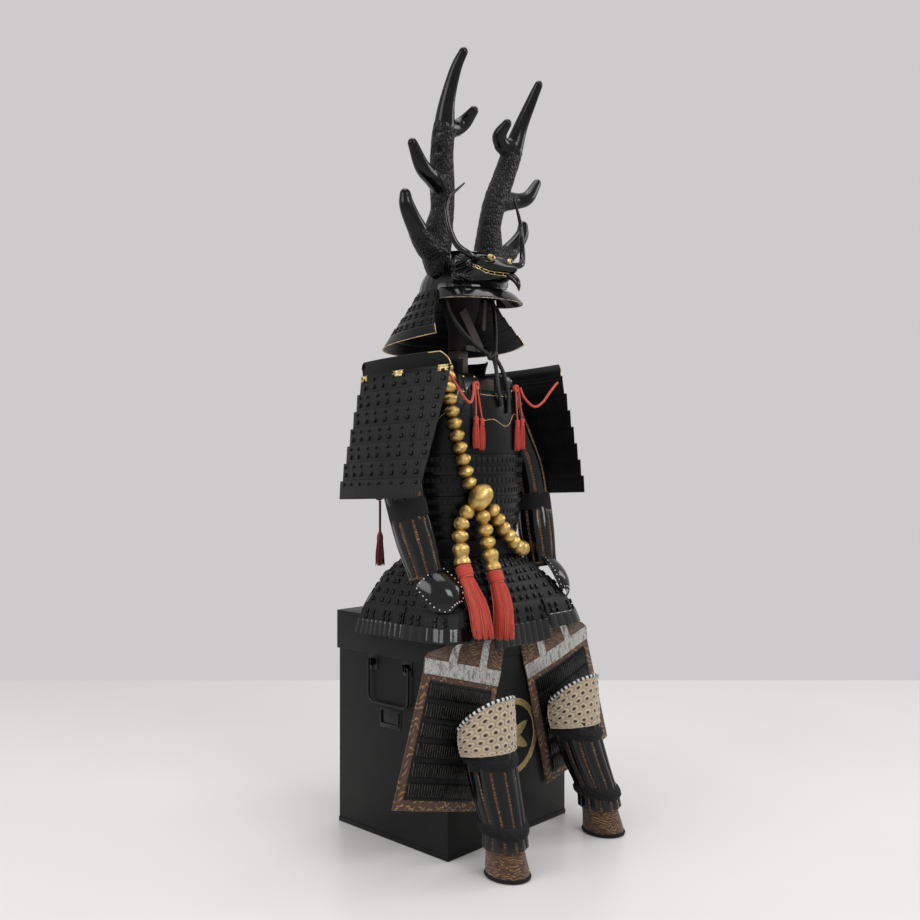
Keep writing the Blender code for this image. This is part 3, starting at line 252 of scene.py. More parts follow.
keep("gloss", "black_lacquer",
     lacquer("gloss_lacquer", (0.0020, 0.0023, 0.0030), 0.13, 0.10, 0.00014, coat=0.15, shine=0.30))
keep("cuirass", "black_lacquer",
     lacquer("cuirass_lacquer", (0.0022, 0.0026, 0.0034), 0.28, 0.16, 0.00030, shine=0.20))
keep("satin", "black_lacquer", lacquer("satin_lacquer", (0.0036, 0.0040, 0.0040), 0.32, 0.18, 0.00030, shine=0.15))
keep("box", "box_lacquer", lacquer("box_satin", (0.0060, 0.0066, 0.0064), 0.42, 0.14, 0.00020, 220, shine=0.17))
keep("iron", "black_iron", lacquer("forged_iron", (0.0030, 0.0032, 0.0034), 0.28, 0.20, 0.0005, 90, shine=0.30))
keep("plate", "matt_black_plate", ribbed_plate())

# %% Bark-skinned antlers, whose polished tips are painted in as an attribute
def antler_skin():
    paint = Paint("antler_skin", Specular_IOR_Level=0.24)
    place = paint.object_place()
    tip = paint.attribute("tip")
    pebbles = paint.cells(paint.stretched(place, (1, 1, 0.60)), 190)
    dust = paint.noise(place, 40, 4)
    paint.set("Base Color", paint.mix(tip, (0.0030, 0.0030, 0.0033), (0.0022, 0.0022, 0.0026)))
    paint.set("Roughness", (0.24 + 0.2 * dust) * (1 - tip) + 0.20 * tip)
    paint.bump((1 - tip) * (1 - pebbles) * 1.4 + 0.15 * dust, 0.0020)
    return paint


def gold(name, bright, dark, roughness, metallic):
    paint = Paint(name, Metallic=metallic)
    place = paint.object_place()
    wear = paint.ramp(paint.noise(place, 75, 6, 0.65), 0.42, 0.66)
    paint.set("Base Color", paint.mix(wear, bright, dark))
    paint.set("Roughness", roughness + 0.22 * wear)
    paint.bump(paint.noise(place, 420, 3) + wear, 0.0004)
    return paint


keep("antler", "black_lacquer", antler_skin())
keep("bead_gold", "gold_lacquer", gold("bead_gold", (0.62, 0.42, 0.145), (0.40, 0.26, 0.085), 0.30, 0.92))
keep("trim_gold", "gold_lacquer", gold("trim_gold", (0.66, 0.52, 0.25), (0.34, 0.24, 0.09), 0.30, 0.90))
keep("silver", "silver_leather", gold("brass_silver", (0.36, 0.34, 0.28), (0.13, 0.10, 0.06), 0.34, 0.85))
# Painted highlight: a pale metallic grey for thin bars that stand for the highlights on the edges of the thigh guards'
# black plates.
keep("edge_highlight", "matt_black_plate", gold("painted_edge_highlight", (0.13, 0.125, 0.11), (0.030, 0.028, 0.024), 0.34, 0.70))
keep("pale", "silver_leather", gold("pale_thread", (0.62, 0.62, 0.60), (0.40, 0.39, 0.37), 0.60, 0.0))

# %% [markdown]
# ## Cloths
# Brocade is drawn on the UV map, which each cloth piece carries in metres, so its scrolls run with the cloth. Silk
# cords take soft streaks. Every cloth has a weave in its bump and a little sheen on the shader's own socket.

# %% Brocade, leather and quilt
def brocade():
    paint = Paint("brown_brocade", Sheen_Weight=0.25, Sheen_Roughness=0.5)
    cloth = paint.cloth_place()
    across, down, _ = paint.parts(cloth)
    drift = paint.noise(cloth, 30, 4)
    other = paint.noise(paint.stretched(cloth, (1, -1, 1)), 42, 3)
    waves = paint.sine(down * 1100 + paint.sine(across * 310 + drift * 14) * 1.6 + other * 22)
    scrolls = paint.sine(across * 170 + drift * 20) * paint.sine(down * 210 + other * 16)
    thread = paint.ramp(waves, 0.30, 0.95) * paint.ramp(scrolls + other, 0.05, 0.75)
    weave = paint.sine(across * 4200) * paint.sine(down * 4200)
    ground = paint.mix(paint.noise(cloth, 90, 4, 0.7), (0.009, 0.0035, 0.0018), (0.110, 0.036, 0.010))
    paint.set("Base Color", paint.mix(thread, ground, (0.27, 0.155, 0.055)))
    paint.set("Roughness", 0.80 - 0.32 * thread)
    paint.bump(thread * 1.6 + weave * 0.35, 0.0005)
    return paint


def silver_leather():
    paint = Paint("silver_leather")
    place = paint.object_place()
    creases = paint.cells(paint.stretched(place, (1, 1, 0.45)), 210, "DISTANCE_TO_EDGE")
    crack = 1 - paint.ramp(creases, 0.0, 0.12)
    worn = paint.ramp(paint.noise(paint.stretched(place, (1, 1, 0.4)), 90, 5, 0.6), 0.50, 0.64)
    paint.set("Base Color", paint.mix(crack * 0.6, paint.mix(worn, (0.58, 0.57, 0.55), (0.24, 0.22, 0.20)),
                                      (0.085, 0.075, 0.068)))
    paint.set("Roughness", 0.32 + 0.25 * worn + 0.2 * crack)
    paint.set("Metallic", 0.80 * (1 - worn) * (1 - crack))
    paint.bump(1 - crack + worn * 0.4, 0.0008)
    return paint


def tan_quilt():
    """Seams and the dark stitched dots come from attributes that the quilt's own mesh carries."""
    paint = Paint("tan_quilt", Sheen_Weight=0.3, Sheen_Roughness=0.5)
    cloth = paint.cloth_place()
    across, down, _ = paint.parts(cloth)
    seam, dot = paint.attribute("seam"), paint.attribute("dot")
    fibre = paint.noise(cloth, 700, 4)
    base = paint.mix(paint.noise(cloth, 60, 3), (0.40, 0.31, 0.21), (0.56, 0.47, 0.34))
    base = paint.mix(seam * 0.75, base, (0.16, 0.11, 0.07))
    paint.set("Base Color", paint.mix(dot, base, (0.030, 0.016, 0.010)))
    paint.set("Roughness", 0.82)
    weave = paint.sine(across * 3600) + paint.sine(down * 3600)
    paint.bump(weave * 0.2 + fibre, 0.0006)
    return paint


def plain_cloth(name, dark, light, rough=0.85, scale=3800):
    paint = Paint(name, Sheen_Weight=0.04, Sheen_Roughness=0.5, Specular_IOR_Level=0.2)
    place = paint.object_place()
    x, y, z = paint.parts(place)
    fibre = paint.noise(place, 500, 4)
    paint.set("Base Color", paint.mix(paint.noise(place, 45, 5), dark, light))
    paint.set("Roughness", rough - 0.12 * fibre)
    paint.bump(paint.sine((x + y) * scale) * paint.sine(z * scale) * 0.4 + fibre, 0.0006)
    return paint


def silk(name, dark, light, rough, sheen):
    """Silk floss: streaks along the fall of the thread."""
    paint = Paint(name, Sheen_Weight=sheen, Sheen_Roughness=0.35, Specular_IOR_Level=0.35)
    place = paint.object_place()
    streaks = paint.noise(paint.stretched(place, (700, 700, 60)), 1.0, 3)
    patches = paint.noise(place, 60, 3)
    paint.set("Base Color", paint.mix(streaks * 0.7 + patches * 0.3, dark, light))
    paint.set("Roughness", rough + 0.15 * streaks)
    paint.bump(streaks, 0.0004)
    return paint


keep("brocade", "brown_brocade", brocade())
keep("leather", "silver_leather", silver_leather())
keep("quilt", "tan_quilt", tan_quilt())
keep("black_cloth", "black_cloth", plain_cloth("black_cloth", (0.0035, 0.0035, 0.0045), (0.010, 0.010, 0.012)))
# The head block's cloth is the head cloth darkened about six times: painted shade for where it sits under the helmet.
keep("head_cloth_painted_shade", "head_cloth", plain_cloth("head_cloth_painted_shade", (0.006, 0.005, 0.005), (0.016, 0.013, 0.012)))
keep("head_cloth", "head_cloth", plain_cloth("head_cloth", (0.050, 0.038, 0.036), (0.095, 0.078, 0.074)))
keep("black_silk", "black_cloth",
     silk("black_silk", (0.0022, 0.0022, 0.0030), (0.0075, 0.0075, 0.0095), 0.42, 0.05))
keep("red_silk", "red_silk", silk("red_silk", (0.34, 0.030, 0.018), (0.66, 0.085, 0.050), 0.45, 0.25))
keep("wine_silk", "wine_silk", silk("wine_silk", (0.060, 0.004, 0.007), (0.16, 0.014, 0.019), 0.50, 0.15))

# %% Wood of the stand, floor
def wood():
    paint = Paint("dark_wood")
    place = paint.object_place()
    grain = paint.noise(paint.stretched(place, (60, 60, 4)), 1.0, 5, 0.6)
    paint.set("Base Color", paint.mix(grain, (0.020, 0.013, 0.009), (0.085, 0.058, 0.040)))
    paint.set("Roughness", 0.5 + 0.2 * grain)
    paint.bump(grain, 0.0006)
    return paint


def floor_paint():
    paint = Paint("pale_floor")
    place = paint.object_place()
    drift = paint.noise(place, 1.5, 3)
    paint.set("Base Color", paint.mix(drift, (0.66, 0.66, 0.64), (0.72, 0.72, 0.70)))
    paint.set("Roughness", 0.26 + 0.10 * drift)
    paint.bump(paint.noise(place, 40, 2), 0.0002)
    return paint


keep("wood", "dark_wood", wood())
FLOOR_FAR, FLOOR_NEAR, FLOOR_HALF = 1.64, 3.4, 3.6
bpy.ops.object.select_all(action="DESELECT")
bpy.ops.mesh.primitive_plane_add(size=1, location=(0, (FLOOR_FAR - FLOOR_NEAR) / 2, 0))
floor = bpy.context.object
floor.scale = (2 * FLOOR_HALF, FLOOR_FAR + FLOOR_NEAR, 1)
bpy.ops.object.transform_apply()
floor.rotation_euler = (0, 0, math.radians(CAMERA_TURN))
bpy.ops.object.transform_apply()
floor.name = "floor"
floor.data.materials.append(floor_paint().material)
floor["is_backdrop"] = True
print(len(FINISH), "finishes")

# %% [markdown]
# ## Tools of the bench
# Most pieces of the suit are thin curved plates. So one helper adds a grid primitive, sends its points to a surface
# given as a function of (across, down), and finishes it with Solidify and Bevel. A second one repeats a small model
# at many seats on such a surface, and a third draws round lines along routes.

# %% Selecting, applying and filing pieces
def alone(obj):
    """Makes this the only selected and the active object."""
    bpy.ops.object.select_all(action="DESELECT")
    obj.select_set(True)
    bpy.context.view_layer.objects.active = obj
    return obj


def finish_modifiers(obj, smooth=40):
    alone(obj)
    for modifier in list(obj.modifiers):
        bpy.ops.object.modifier_apply(modifier=modifier.name)
    bpy.ops.object.shade_smooth_by_angle(angle=math.radians(smooth))
    return obj


def pick_faces(obj, test):
    """Enters edit mode with only those faces selected whose centre and normal pass the test."""
    alone(obj)
    bpy.ops.object.mode_set(mode="EDIT")
    bpy.ops.mesh.select_mode(type="FACE")
    bpy.ops.mesh.select_all(action="DESELECT")
    bpy.ops.object.mode_set(mode="OBJECT")
    for face in obj.data.polygons:
        face.select = test(face.center, face.normal)
    bpy.ops.object.mode_set(mode="EDIT")


def joined(objects):
    alone(objects[0])
    for obj in objects:
        obj.select_set(True)
    bpy.ops.object.join()
    return bpy.context.object


def piece(obj, name, finish, *replaced, body="armour"):
    """Files a finished object: its place goes into its mesh, and it gets its name, finish and body."""
    alone(obj)
    bpy.ops.object.transform_apply()
    material, slot = FINISH[finish]
    obj.name = obj.data.name = name
    obj.data.materials.clear()
    obj.data.materials.append(material)
    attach(obj, body)
    if replaced:
        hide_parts(*replaced)
    return obj


# %% Numbers between numbers
def between(low, high, share):
    return low + (high - low) * share


def shares(count):
    return [i / (count - 1) for i in range(count)]


def curve_at(table, key):
    """Reads a table with a rising first column along smooth curves through its rows."""
    key = min(max(key, table[0][0]), table[-1][0])
    i = next(i for i in range(len(table) - 1) if key <= table[i + 1][0])
    low, high = table[i], table[i + 1]
    before, after = table[max(i - 1, 0)], table[min(i + 2, len(table) - 1)]
    span = high[0] - low[0]
    t = (key - low[0]) / span
    found = []
    for k in range(1, len(low)):
        slope_low = (high[k] - before[k]) / (high[0] - before[0]) * span
        slope_high = (after[k] - low[k]) / (after[0] - low[0]) * span
        found.append((2 * t**3 - 3 * t**2 + 1) * low[k] + (t**3 - 2 * t**2 + t) * slope_low
                     + (3 * t**2 - 2 * t**3) * high[k] + (t**3 - t**2) * slope_high)
    return found


def table_at(table, key):
    """The same with straight lines between the rows."""
    key = min(max(key, table[0][0]), table[-1][0])
    low, high = next((low, high) for low, high in zip(table, table[1:]) if key <= high[0])
    share = (key - low[0]) / (high[0] - low[0])
    return [between(a, b, share) for a, b in zip(low[1:], high[1:])]


def spot_on(points, share):
    """The point at this share of a Catmull-Rom curve through the given points."""
    spans = len(points) - 1
    i = min(int(share * spans), spans - 1)
    t = share * spans - i
    b, c = Vector(points[i]), Vector(points[i + 1])
    a = Vector(points[i - 1]) if i else 2 * b - c
    d = Vector(points[i + 2]) if i + 2 <= spans else 2 * c - b
    return (2 * b + (c - a) * t + (2 * a - 5 * b + 4 * c - d) * t**2 + (3 * b - a - 3 * c + d) * t**3) / 2


def evenly(points, pitch):
    """Points a pitch apart, or close to it, along the smooth curve through the given ones."""
    fine = [spot_on(points, share) for share in shares(40 * len(points))]
    lengths = [0.0]
    for a, b in zip(fine, fine[1:]):
        lengths.append(lengths[-1] + (b - a).length)
    count = max(1, round(lengths[-1] / pitch))
    spread, i = [], 0
    for k in range(count + 1):
        target = lengths[-1] * k / count
        while i < len(fine) - 2 and lengths[i + 1] < target:
            i += 1
        spread.append(fine[i].lerp(fine[i + 1], (target - lengths[i]) / (lengths[i + 1] - lengths[i])))
    return spread


def mirrored(points, side):
    return [Vector((side * p[0], p[1], p[2])) for p in points]


# %% Plates from grids
BODY_Y = -0.030
TINY = 1e-3


def length_of(points):
    return sum((b - a).length for a, b in zip(points, points[1:]))


def plate(surface, wide, high, thick=0.003, grow=1.0, bevel=0.0006, core=None):
    """A grid on surface(across, down), both from 0 to 1, with a wall that grows away from the core point."""
    bpy.ops.object.select_all(action="DESELECT")
    bpy.ops.mesh.primitive_grid_add(x_subdivisions=wide, y_subdivisions=high, size=2)
    made = bpy.context.object
    mesh = made.data
    for vertex in mesh.vertices:
        vertex.co = surface((vertex.co.x + 1) / 2, (1 - vertex.co.y) / 2)
    width = length_of([surface(share, 0.5) for share in shares(12)])
    height = length_of([surface(0.5, share) for share in shares(12)])
    for corner in mesh.uv_layers.active.data:
        corner.uv = (corner.uv.x * width, corner.uv.y * height)
    mesh.update()
    made["flat"] = (width, height)
    made["area"] = sum(face.area for face in mesh.polygons)
    if core is None:
        core = Vector((0, BODY_Y, surface(0.5, 0.5).z))
    faces_out = sum(face.normal.dot(face.center - core) * face.area for face in mesh.polygons)
    pick_faces(made, lambda centre, normal: True)
    if faces_out < 0:
        bpy.ops.mesh.flip_normals()
    bpy.ops.mesh.remove_doubles(threshold=0.00005)
    bpy.ops.object.mode_set(mode="OBJECT")
    if thick:
        wall = made.modifiers.new("wall", "SOLIDIFY")
        wall.thickness, wall.offset, wall.use_even_offset = thick, grow, True
    if bevel:
        edge = made.modifiers.new("edge", "BEVEL")
        edge.width, edge.segments, edge.limit_method, edge.angle_limit = bevel, 2, "ANGLE", math.radians(50)
    return finish_modifiers(made)


def seat(surface, across, down, out=0.0, core=None, turn=0.0):
    """A place on a surface: X runs across, Y up and Z away from the core."""
    place = surface(across, down)
    core = core or Vector((0, BODY_Y, place.z))
    along = (surface(across + TINY, down) - surface(across - TINY, down)).normalized()
    up = (surface(across, down - TINY) - surface(across, down + TINY)).normalized()
    away = along.cross(up).normalized()
    if away.dot(place - core) < 0:
        away, along = -away, -along
    up = away.cross(along)
    axes = Matrix((along, up, away)).transposed().to_4x4()
    return Matrix.Translation(place + away * out) @ axes @ Matrix.Rotation(turn, 4, "Z")


def copies(model, places):
    """One object with a copy of the model at each place. The model itself goes."""
    points, faces = [], []
    for place in places:
        first = len(points)
        points += [place @ vertex.co for vertex in model.data.vertices]
        faces += [[first + i for i in face.vertices] for face in model.data.polygons]
    data = bpy.data.meshes.new("copies")
    data.from_pydata(points, [], faces)
    made = bpy.data.objects.new("copies", data)
    bpy.context.scene.collection.objects.link(made)
    bpy.data.objects.remove(model)
    return finish_modifiers(made)


# %% Blocks, knots, studs and lines
def block(low, high, bevel=0.002, segments=2):
    """A bevelled cube between two corners."""
    low, high = Vector(low), Vector(high)
    bpy.ops.object.select_all(action="DESELECT")
    bpy.ops.mesh.primitive_cube_add(size=1, location=(low + high) / 2, scale=high - low)
    made = bpy.context.object
    bpy.ops.object.transform_apply()
    pick_faces(made, lambda centre, normal: True)
    bpy.ops.mesh.bevel(offset=bevel, segments=segments, affect="EDGES")
    bpy.ops.object.mode_set(mode="OBJECT")
    return finish_modifiers(made)


def knot(width, height, rise):
    """A flat lacing knot with rounded shoulders, its foot at the origin."""
    return block((-width / 2, -height / 2, -rise / 2), (width / 2, height / 2, rise), 0.45 * rise)


def dome(radius, rise, sides=10):
    """Half a ball with its foot at the origin."""
    bpy.ops.object.select_all(action="DESELECT")
    bpy.ops.mesh.primitive_uv_sphere_add(segments=sides, ring_count=8, radius=1, scale=(radius, radius, rise))
    made = bpy.context.object
    bpy.ops.object.transform_apply()
    pick_faces(made, lambda centre, normal: centre.z < -0.1 * rise)
    bpy.ops.mesh.delete(type="FACE")
    bpy.ops.object.mode_set(mode="OBJECT")
    return made


def lines(routes, radius, cyclic=False, rounds=2):
    """Round lines along routes, which are lists of points. A point's fourth number is a radius factor."""
    data = bpy.data.curves.new("lines", "CURVE")
    data.dimensions = "3D"
    data.bevel_depth, data.bevel_resolution, data.use_fill_caps = radius, rounds, True
    for route in routes:
        spline = data.splines.new("POLY")
        spline.points.add(len(route) - 1)
        spline.use_cyclic_u = cyclic
        for point, place in zip(spline.points, route):
            point.co = (*place[:3], 1)
            point.radius = place[3] if len(place) > 3 else 1.0
    made = bpy.data.objects.new("lines", data)
    bpy.context.scene.collection.objects.link(made)
    return made


def as_mesh(obj):
    alone(obj)
    bpy.ops.object.convert(target="MESH")
    return finish_modifiers(bpy.context.object)


def edge_route(surface, inset, steps=40):
    """A route up one side of a surface, along its top and down the other side, inset by shares of its size."""
    a, b = inset
    route = [(a, between(1 - b, b, s)) for s in shares(steps)]
    route += [(between(a, 1 - a, s), b) for s in shares(steps)]
    route += [(1 - a, between(b, 1 - b, s)) for s in shares(steps)]
    return [surface(*spot) for spot in route]


# %% [markdown]
# ## The armour box
# A tall chest with a deep lid, in satin black. Its walls are open shells given thickness by Solidify, so the lid's
# seam is a real step, and a small bevel catches the light along every edge.

# %% Chest and lid
BOX_WIDTH, BOX_DEPTH, BOX_HEIGHT = 0.448, 0.394, 0.550
LID_DROP, LID_OVERHANG, LID_WALL, BOX_WALL = 0.099, 0.0045, 0.007, 0.010
BASE_OUT, BASE_HIGH = 0.0015, 0.012
GAP = 0.0004


def open_shell(half_x, half_y, low_z, high_z, open_up, wall, bevel):
    bpy.ops.object.select_all(action="DESELECT")
    bpy.ops.mesh.primitive_cube_add(size=1, location=(0, 0, (low_z + high_z) / 2),
                                    scale=(2 * half_x, 2 * half_y, high_z - low_z))
    made = bpy.context.object
    bpy.ops.object.transform_apply()
    pick_faces(made, lambda centre, normal: normal.z * open_up > 0.5)
    bpy.ops.mesh.delete(type="FACE")
    bpy.ops.object.mode_set(mode="OBJECT")
    shell = made.modifiers.new("wall", "SOLIDIFY")
    shell.thickness, shell.offset = wall, -1
    edge = made.modifiers.new("edge", "BEVEL")
    edge.width, edge.segments, edge.limit_method = bevel, 3, "ANGLE"
    return finish_modifiers(made)


lid = open_shell(BOX_WIDTH / 2 + LID_OVERHANG, BOX_DEPTH / 2 + LID_OVERHANG, BOX_HEIGHT - LID_DROP, BOX_HEIGHT, -1,
                 LID_WALL - 0.003, 0.0028)
piece(lid, "chest_lid", "box", "box_lid")
chest = open_shell(BOX_WIDTH / 2, BOX_DEPTH / 2, 0.0, BOX_HEIGHT - LID_WALL - GAP, 1, BOX_WALL, 0.0022)
piece(chest, "chest_body", "box", "box_body")
base = block((-BOX_WIDTH / 2 - BASE_OUT, -BOX_DEPTH / 2 - BASE_OUT, 0.0),
             (BOX_WIDTH / 2 + BASE_OUT, BOX_DEPTH / 2 + BASE_OUT, BASE_HIGH))
piece(base, "chest_base", "box")

# %% [markdown]
# Each side has a drop handle of round iron on two ears, and a square loop below it for the packing cord.

# %% Handles
HANDLE_HALF, HANDLE_PIVOT_Z, HANDLE_DROP, HANDLE_WIRE, HANDLE_OFF = 0.072, 0.434, 0.098, 0.0035, 0.0095
EAR_HALF, EAR_REACH, EAR_WALL, EAR_HIGH = 0.005, 0.016, 0.0022, 0.009
MOUNT_HALF, MOUNT_HIGH = 0.016, 0.020
LOOP_HALF, LOOP_TOP_Z, LOOP_FOOT_Z = 0.034, 0.318, 0.286


def handle_route(side):
    top, foot = HANDLE_PIVOT_Z, HANDLE_PIVOT_Z - HANDLE_DROP
    half = [(HANDLE_HALF - 0.018, top), (HANDLE_HALF - 0.006, top), (HANDLE_HALF, top - 0.005),
            (HANDLE_HALF, top - 0.030), (HANDLE_HALF, foot + 0.030), (HANDLE_HALF - 0.003, foot + 0.010),
            (HANDLE_HALF - 0.012, foot + 0.002), (HANDLE_HALF - 0.028, foot)]
    x = side * (BOX_WIDTH / 2 + HANDLE_OFF)
    return evenly([(x, y, z) for y, z in half] + [(x, -y, z) for y, z in reversed(half)], 0.004)


for hand, side in SIDES:
    handle = as_mesh(lines([handle_route(side)], HANDLE_WIRE, rounds=4))
    piece(handle, f"drop_handle_{hand}", "iron", f"box_handle_{hand}", body=f"handle_{hand}")
    face = side * BOX_WIDTH / 2
    fittings = []
    for end in (-1, 1):
        across = end * (HANDLE_HALF - 0.010)
        for low, high in ((across - EAR_HALF, across - EAR_HALF + EAR_WALL),
                          (across + EAR_HALF - EAR_WALL, across + EAR_HALF)):
            near, far = sorted((face - side * 0.001, face + side * EAR_REACH))
            fittings.append(block((near, low, HANDLE_PIVOT_Z - EAR_HIGH),
                                  (far, high, HANDLE_PIVOT_Z + EAR_HIGH), 0.0008))
        near, far = sorted((face, face + side * EAR_WALL))
        fittings.append(block((near, across - MOUNT_HALF, HANDLE_PIVOT_Z - MOUNT_HIGH),
                              (far, across + MOUNT_HALF, HANDLE_PIVOT_Z + MOUNT_HIGH), 0.0010))
    route = [(-LOOP_HALF, LOOP_TOP_Z), (-LOOP_HALF, LOOP_FOOT_Z), (LOOP_HALF, LOOP_FOOT_Z), (LOOP_HALF, LOOP_TOP_Z)]
    loop = [(face + side * 0.003, y * 0.92, z) for y, z in route]
    fittings.append(as_mesh(lines([loop], 0.0030, rounds=3)))
    near, far = sorted((face, face + side * 0.0018))
    fittings.append(block((near, -LOOP_HALF - 0.004, LOOP_FOOT_Z - 0.010),
                          (far, LOOP_HALF + 0.004, LOOP_TOP_Z + 0.006), 0.0008))
    piece(joined(fittings), f"chest_fittings_{hand}", "iron")

# %% [markdown]
# The real chest bears a gold crest on its front. Here a plain ring with a rosette of six leaves stands in its place:
# a torus pressed flat, and one leaf turned six times.

# %% Gold ring on the chest
RING_CENTRE = Vector((0.010, -BOX_DEPTH / 2, 0.245))
RING_RADIUS, RING_BAND, LEAVES = 0.0885, 0.0080, 6

bpy.ops.object.select_all(action="DESELECT")
bpy.ops.mesh.primitive_torus_add(major_segments=96, minor_segments=12, major_radius=RING_RADIUS,
                                 minor_radius=RING_BAND, location=RING_CENTRE, rotation=(math.pi / 2, 0, 0))
ring = bpy.context.object
ring.scale = (1, 1, 0.10)
leaves = []
for k in range(LEAVES):
    bpy.ops.object.select_all(action="DESELECT")
    bpy.ops.mesh.primitive_uv_sphere_add(segments=20, ring_count=10, radius=1, location=(0, 0, 0))
    leaf = bpy.context.object
    for vertex in leaf.data.vertices:
        x, y, z = vertex.co
        vertex.co = (x * 0.0125 * (1 - 0.45 * y), 0.036 + y * 0.028, z * 0.0010 + 0.0002 * abs(x))
    turn = Matrix.Rotation(math.radians(360 / LEAVES * k), 4, "Z")
    leaf.data.transform(Matrix.Translation(RING_CENTRE) @ Matrix.Rotation(math.pi / 2, 4, "X") @ turn)
    leaves.append(leaf)
piece(joined([ring, *leaves]), "chest_ring", "trim_gold")

# %% [markdown]
# ## The stand
# Only a little of the wooden stand shows. Its head is a padded block, wrapped in cloth, with upright strips of
# board where a face would be. It is turned like a vase: a profile of heights and radii on a round grid.

# %% Stand and head block
HELMET_Y = -0.026
HEAD_PROFILE = ((1.225, 0.032), (1.285, 0.034), (1.345, 0.050), (1.395, 0.058), (1.430, 0.043), (1.4584, 0.006))

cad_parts["stand_cross"].data.materials[0] = FINISH["wood"][0]


def head_surface(across, down):
    z = between(HEAD_PROFILE[-1][0], HEAD_PROFILE[0][0], down)
    radius, = curve_at(HEAD_PROFILE, z)
    angle = 2 * math.pi * across
    return Vector((radius * math.sin(angle), HELMET_Y - radius * math.cos(angle), z))


head = plate(head_surface, 40, 26, 0, core=Vector((0, HELMET_Y, 1.35)))
# Painted shade: the block takes the darkened copy of the head cloth.
piece(head, "head_block", "head_cloth_painted_shade", "stand_head")
BOARDS = (  # width, length, thickness, middle, lean in degrees
    (0.026, 0.118, 0.004, (-0.004, -0.0690, 1.276), -36),
    (0.011, 0.080, 0.003, (0.040, -0.0740, 1.318), 4),
    (0.060, 0.014, 0.006, (0.010, -0.0640, 1.229), 0),
)
strips = []
for width, length, thick, middle, lean in BOARDS:
    strip = block((-width / 2, -thick / 2, -length / 2), (width / 2, thick / 2, length / 2), 0.0012)
    strip.data.transform(Matrix.Translation(middle) @ Matrix.Rotation(math.radians(lean), 4, "Y"))
    strips.append(strip)
piece(joined(strips), "face_boards", "head_cloth")

# %% [markdown]
# ## The cuirass
# Its plan is an oval that widens to the chest, kept in a table and read along smooth curves. A glossy upper plate
# is followed by five laced plates, each of which stands a little out over the one above.

# %% Chest and back plates
WAIST_Z, CHEST_TOP_Z, BACK_TOP_Z = 0.690, 1.120, 1.135
LAME_STEP, LAP, TORSO_LAMES, SCALES = 0.003, 0.0012, 5, 34
SIDE_SEAM = math.pi / 2 - 0.0065
TORSO = ((0.690, 0.150, 0.112), (0.760, 0.157, 0.119), (0.860, 0.170, 0.127), (0.960, 0.177, 0.130),
         (1.060, 0.172, 0.128), (1.140, 0.160, 0.118))


def torso_point(angle, z, out=0.0):
    """The angle runs from the middle of the chest towards the wearer's left."""
    half_width, half_depth = curve_at(TORSO, z)
    return Vector(((half_width + out) * math.sin(angle), BODY_Y - (half_depth + out) * math.cos(angle), z))


def breast(top_z, foot_z, narrow, facing):
    def surface(across, down):
        spread = between(narrow, SIDE_SEAM, max(0.0, math.sin(math.pi / 2 * down)) ** 2.2)
        dip = 0.012 * (1 - (2 * across - 1) ** 2) * (1 - down)
        z = between(top_z, foot_z, down) - dip
        return torso_point(facing + between(-spread, spread, across), z, LAME_STEP * down)
    return surface


def lame_spans(count, lap):
    """Where each laced plate starts and ends, as shares of the whole height."""
    return [(i / count - (lap if i else 0), (i + 1) / count + (lap if i < count - 1 else 0)) for i in range(count)]


def torso_lame(i, top_z, facing):
    start, end = lame_spans(TORSO_LAMES, LAP / (top_z - WAIST_Z))[i]

    def surface(across, down):
        z = between(top_z, WAIST_Z, between(start, end, down))
        return torso_point(facing + between(-SIDE_SEAM, SIDE_SEAM, across), z, LAME_STEP * (2 - down))
    return surface


def away_from_body(place, out):
    """The point moved straight away from the body's upright axis."""
    return place + (place - Vector((0, BODY_Y, place.z))).normalized() * out


lacing, stitches, gold_routes = [], [], []
for name, top_z, foot_z, narrow, facing in (("front", CHEST_TOP_Z, 0.955, math.radians(44), 0.0),
                                            ("back", BACK_TOP_Z, 0.965, math.radians(48), math.pi)):
    upper = breast(top_z, foot_z, narrow, facing)
    plates = [plate(upper, 48, 22, bevel=0.0011)]
    for i in range(TORSO_LAMES):
        low = torso_lame(i, foot_z - LAP, facing)
        plates.append(plate(low, 48, 3, 0.003, bevel=0.0009))
        for k in range(SCALES):
            lacing += [seat(low, (k + 0.5) / SCALES, down, 0.0024, turn=0.05 * math.sin(7 * k + 5 * i + down))
                       for down in (0.25, 0.70)]
            if (k + i) % 3:
                stitches.append(seat(low, (k + 1.0) / SCALES - TINY, 0.97, 0.0032))
    piece(joined(plates), f"cuirass_{name}_plates", "cuirass", f"cuirass_{name}")
    gold_routes.append([away_from_body(spot, 0.0032) for spot in edge_route(upper, (0.030, 0.045))])
    scroll = []
    for s in shares(40):
        spot = upper(between(0.26, 0.74, s), 0.34 + 0.16 * math.sin(math.pi * s) + 0.05 * math.sin(4 * math.pi * s))
        scroll.append(away_from_body(spot, 0.0030))
    gold_routes.append(scroll)
piece(copies(knot(0.0118, 0.0120, 0.0022), lacing), "cuirass_scales", "plate")
piece(copies(knot(0.0034, 0.0012, 0.0009), stitches), "cuirass_stitches", "pale")
piece(as_mesh(lines(gold_routes, 0.0008)), "cuirass_rim", "trim_gold")

# %% [markdown]
# Stiff lacquered straps go over the shoulders, a collar stands round the neck, and a black sash hides the joint
# between cuirass and skirt. The sash is cloth: its ring gets soft sideways folds.

# %% Straps, collar and sash
STRAP_OUT, STRAP_TOP_Z = 0.0016, 1.158
STRAP_LEVEL = (-0.098, -0.050, 0.000, 0.040)


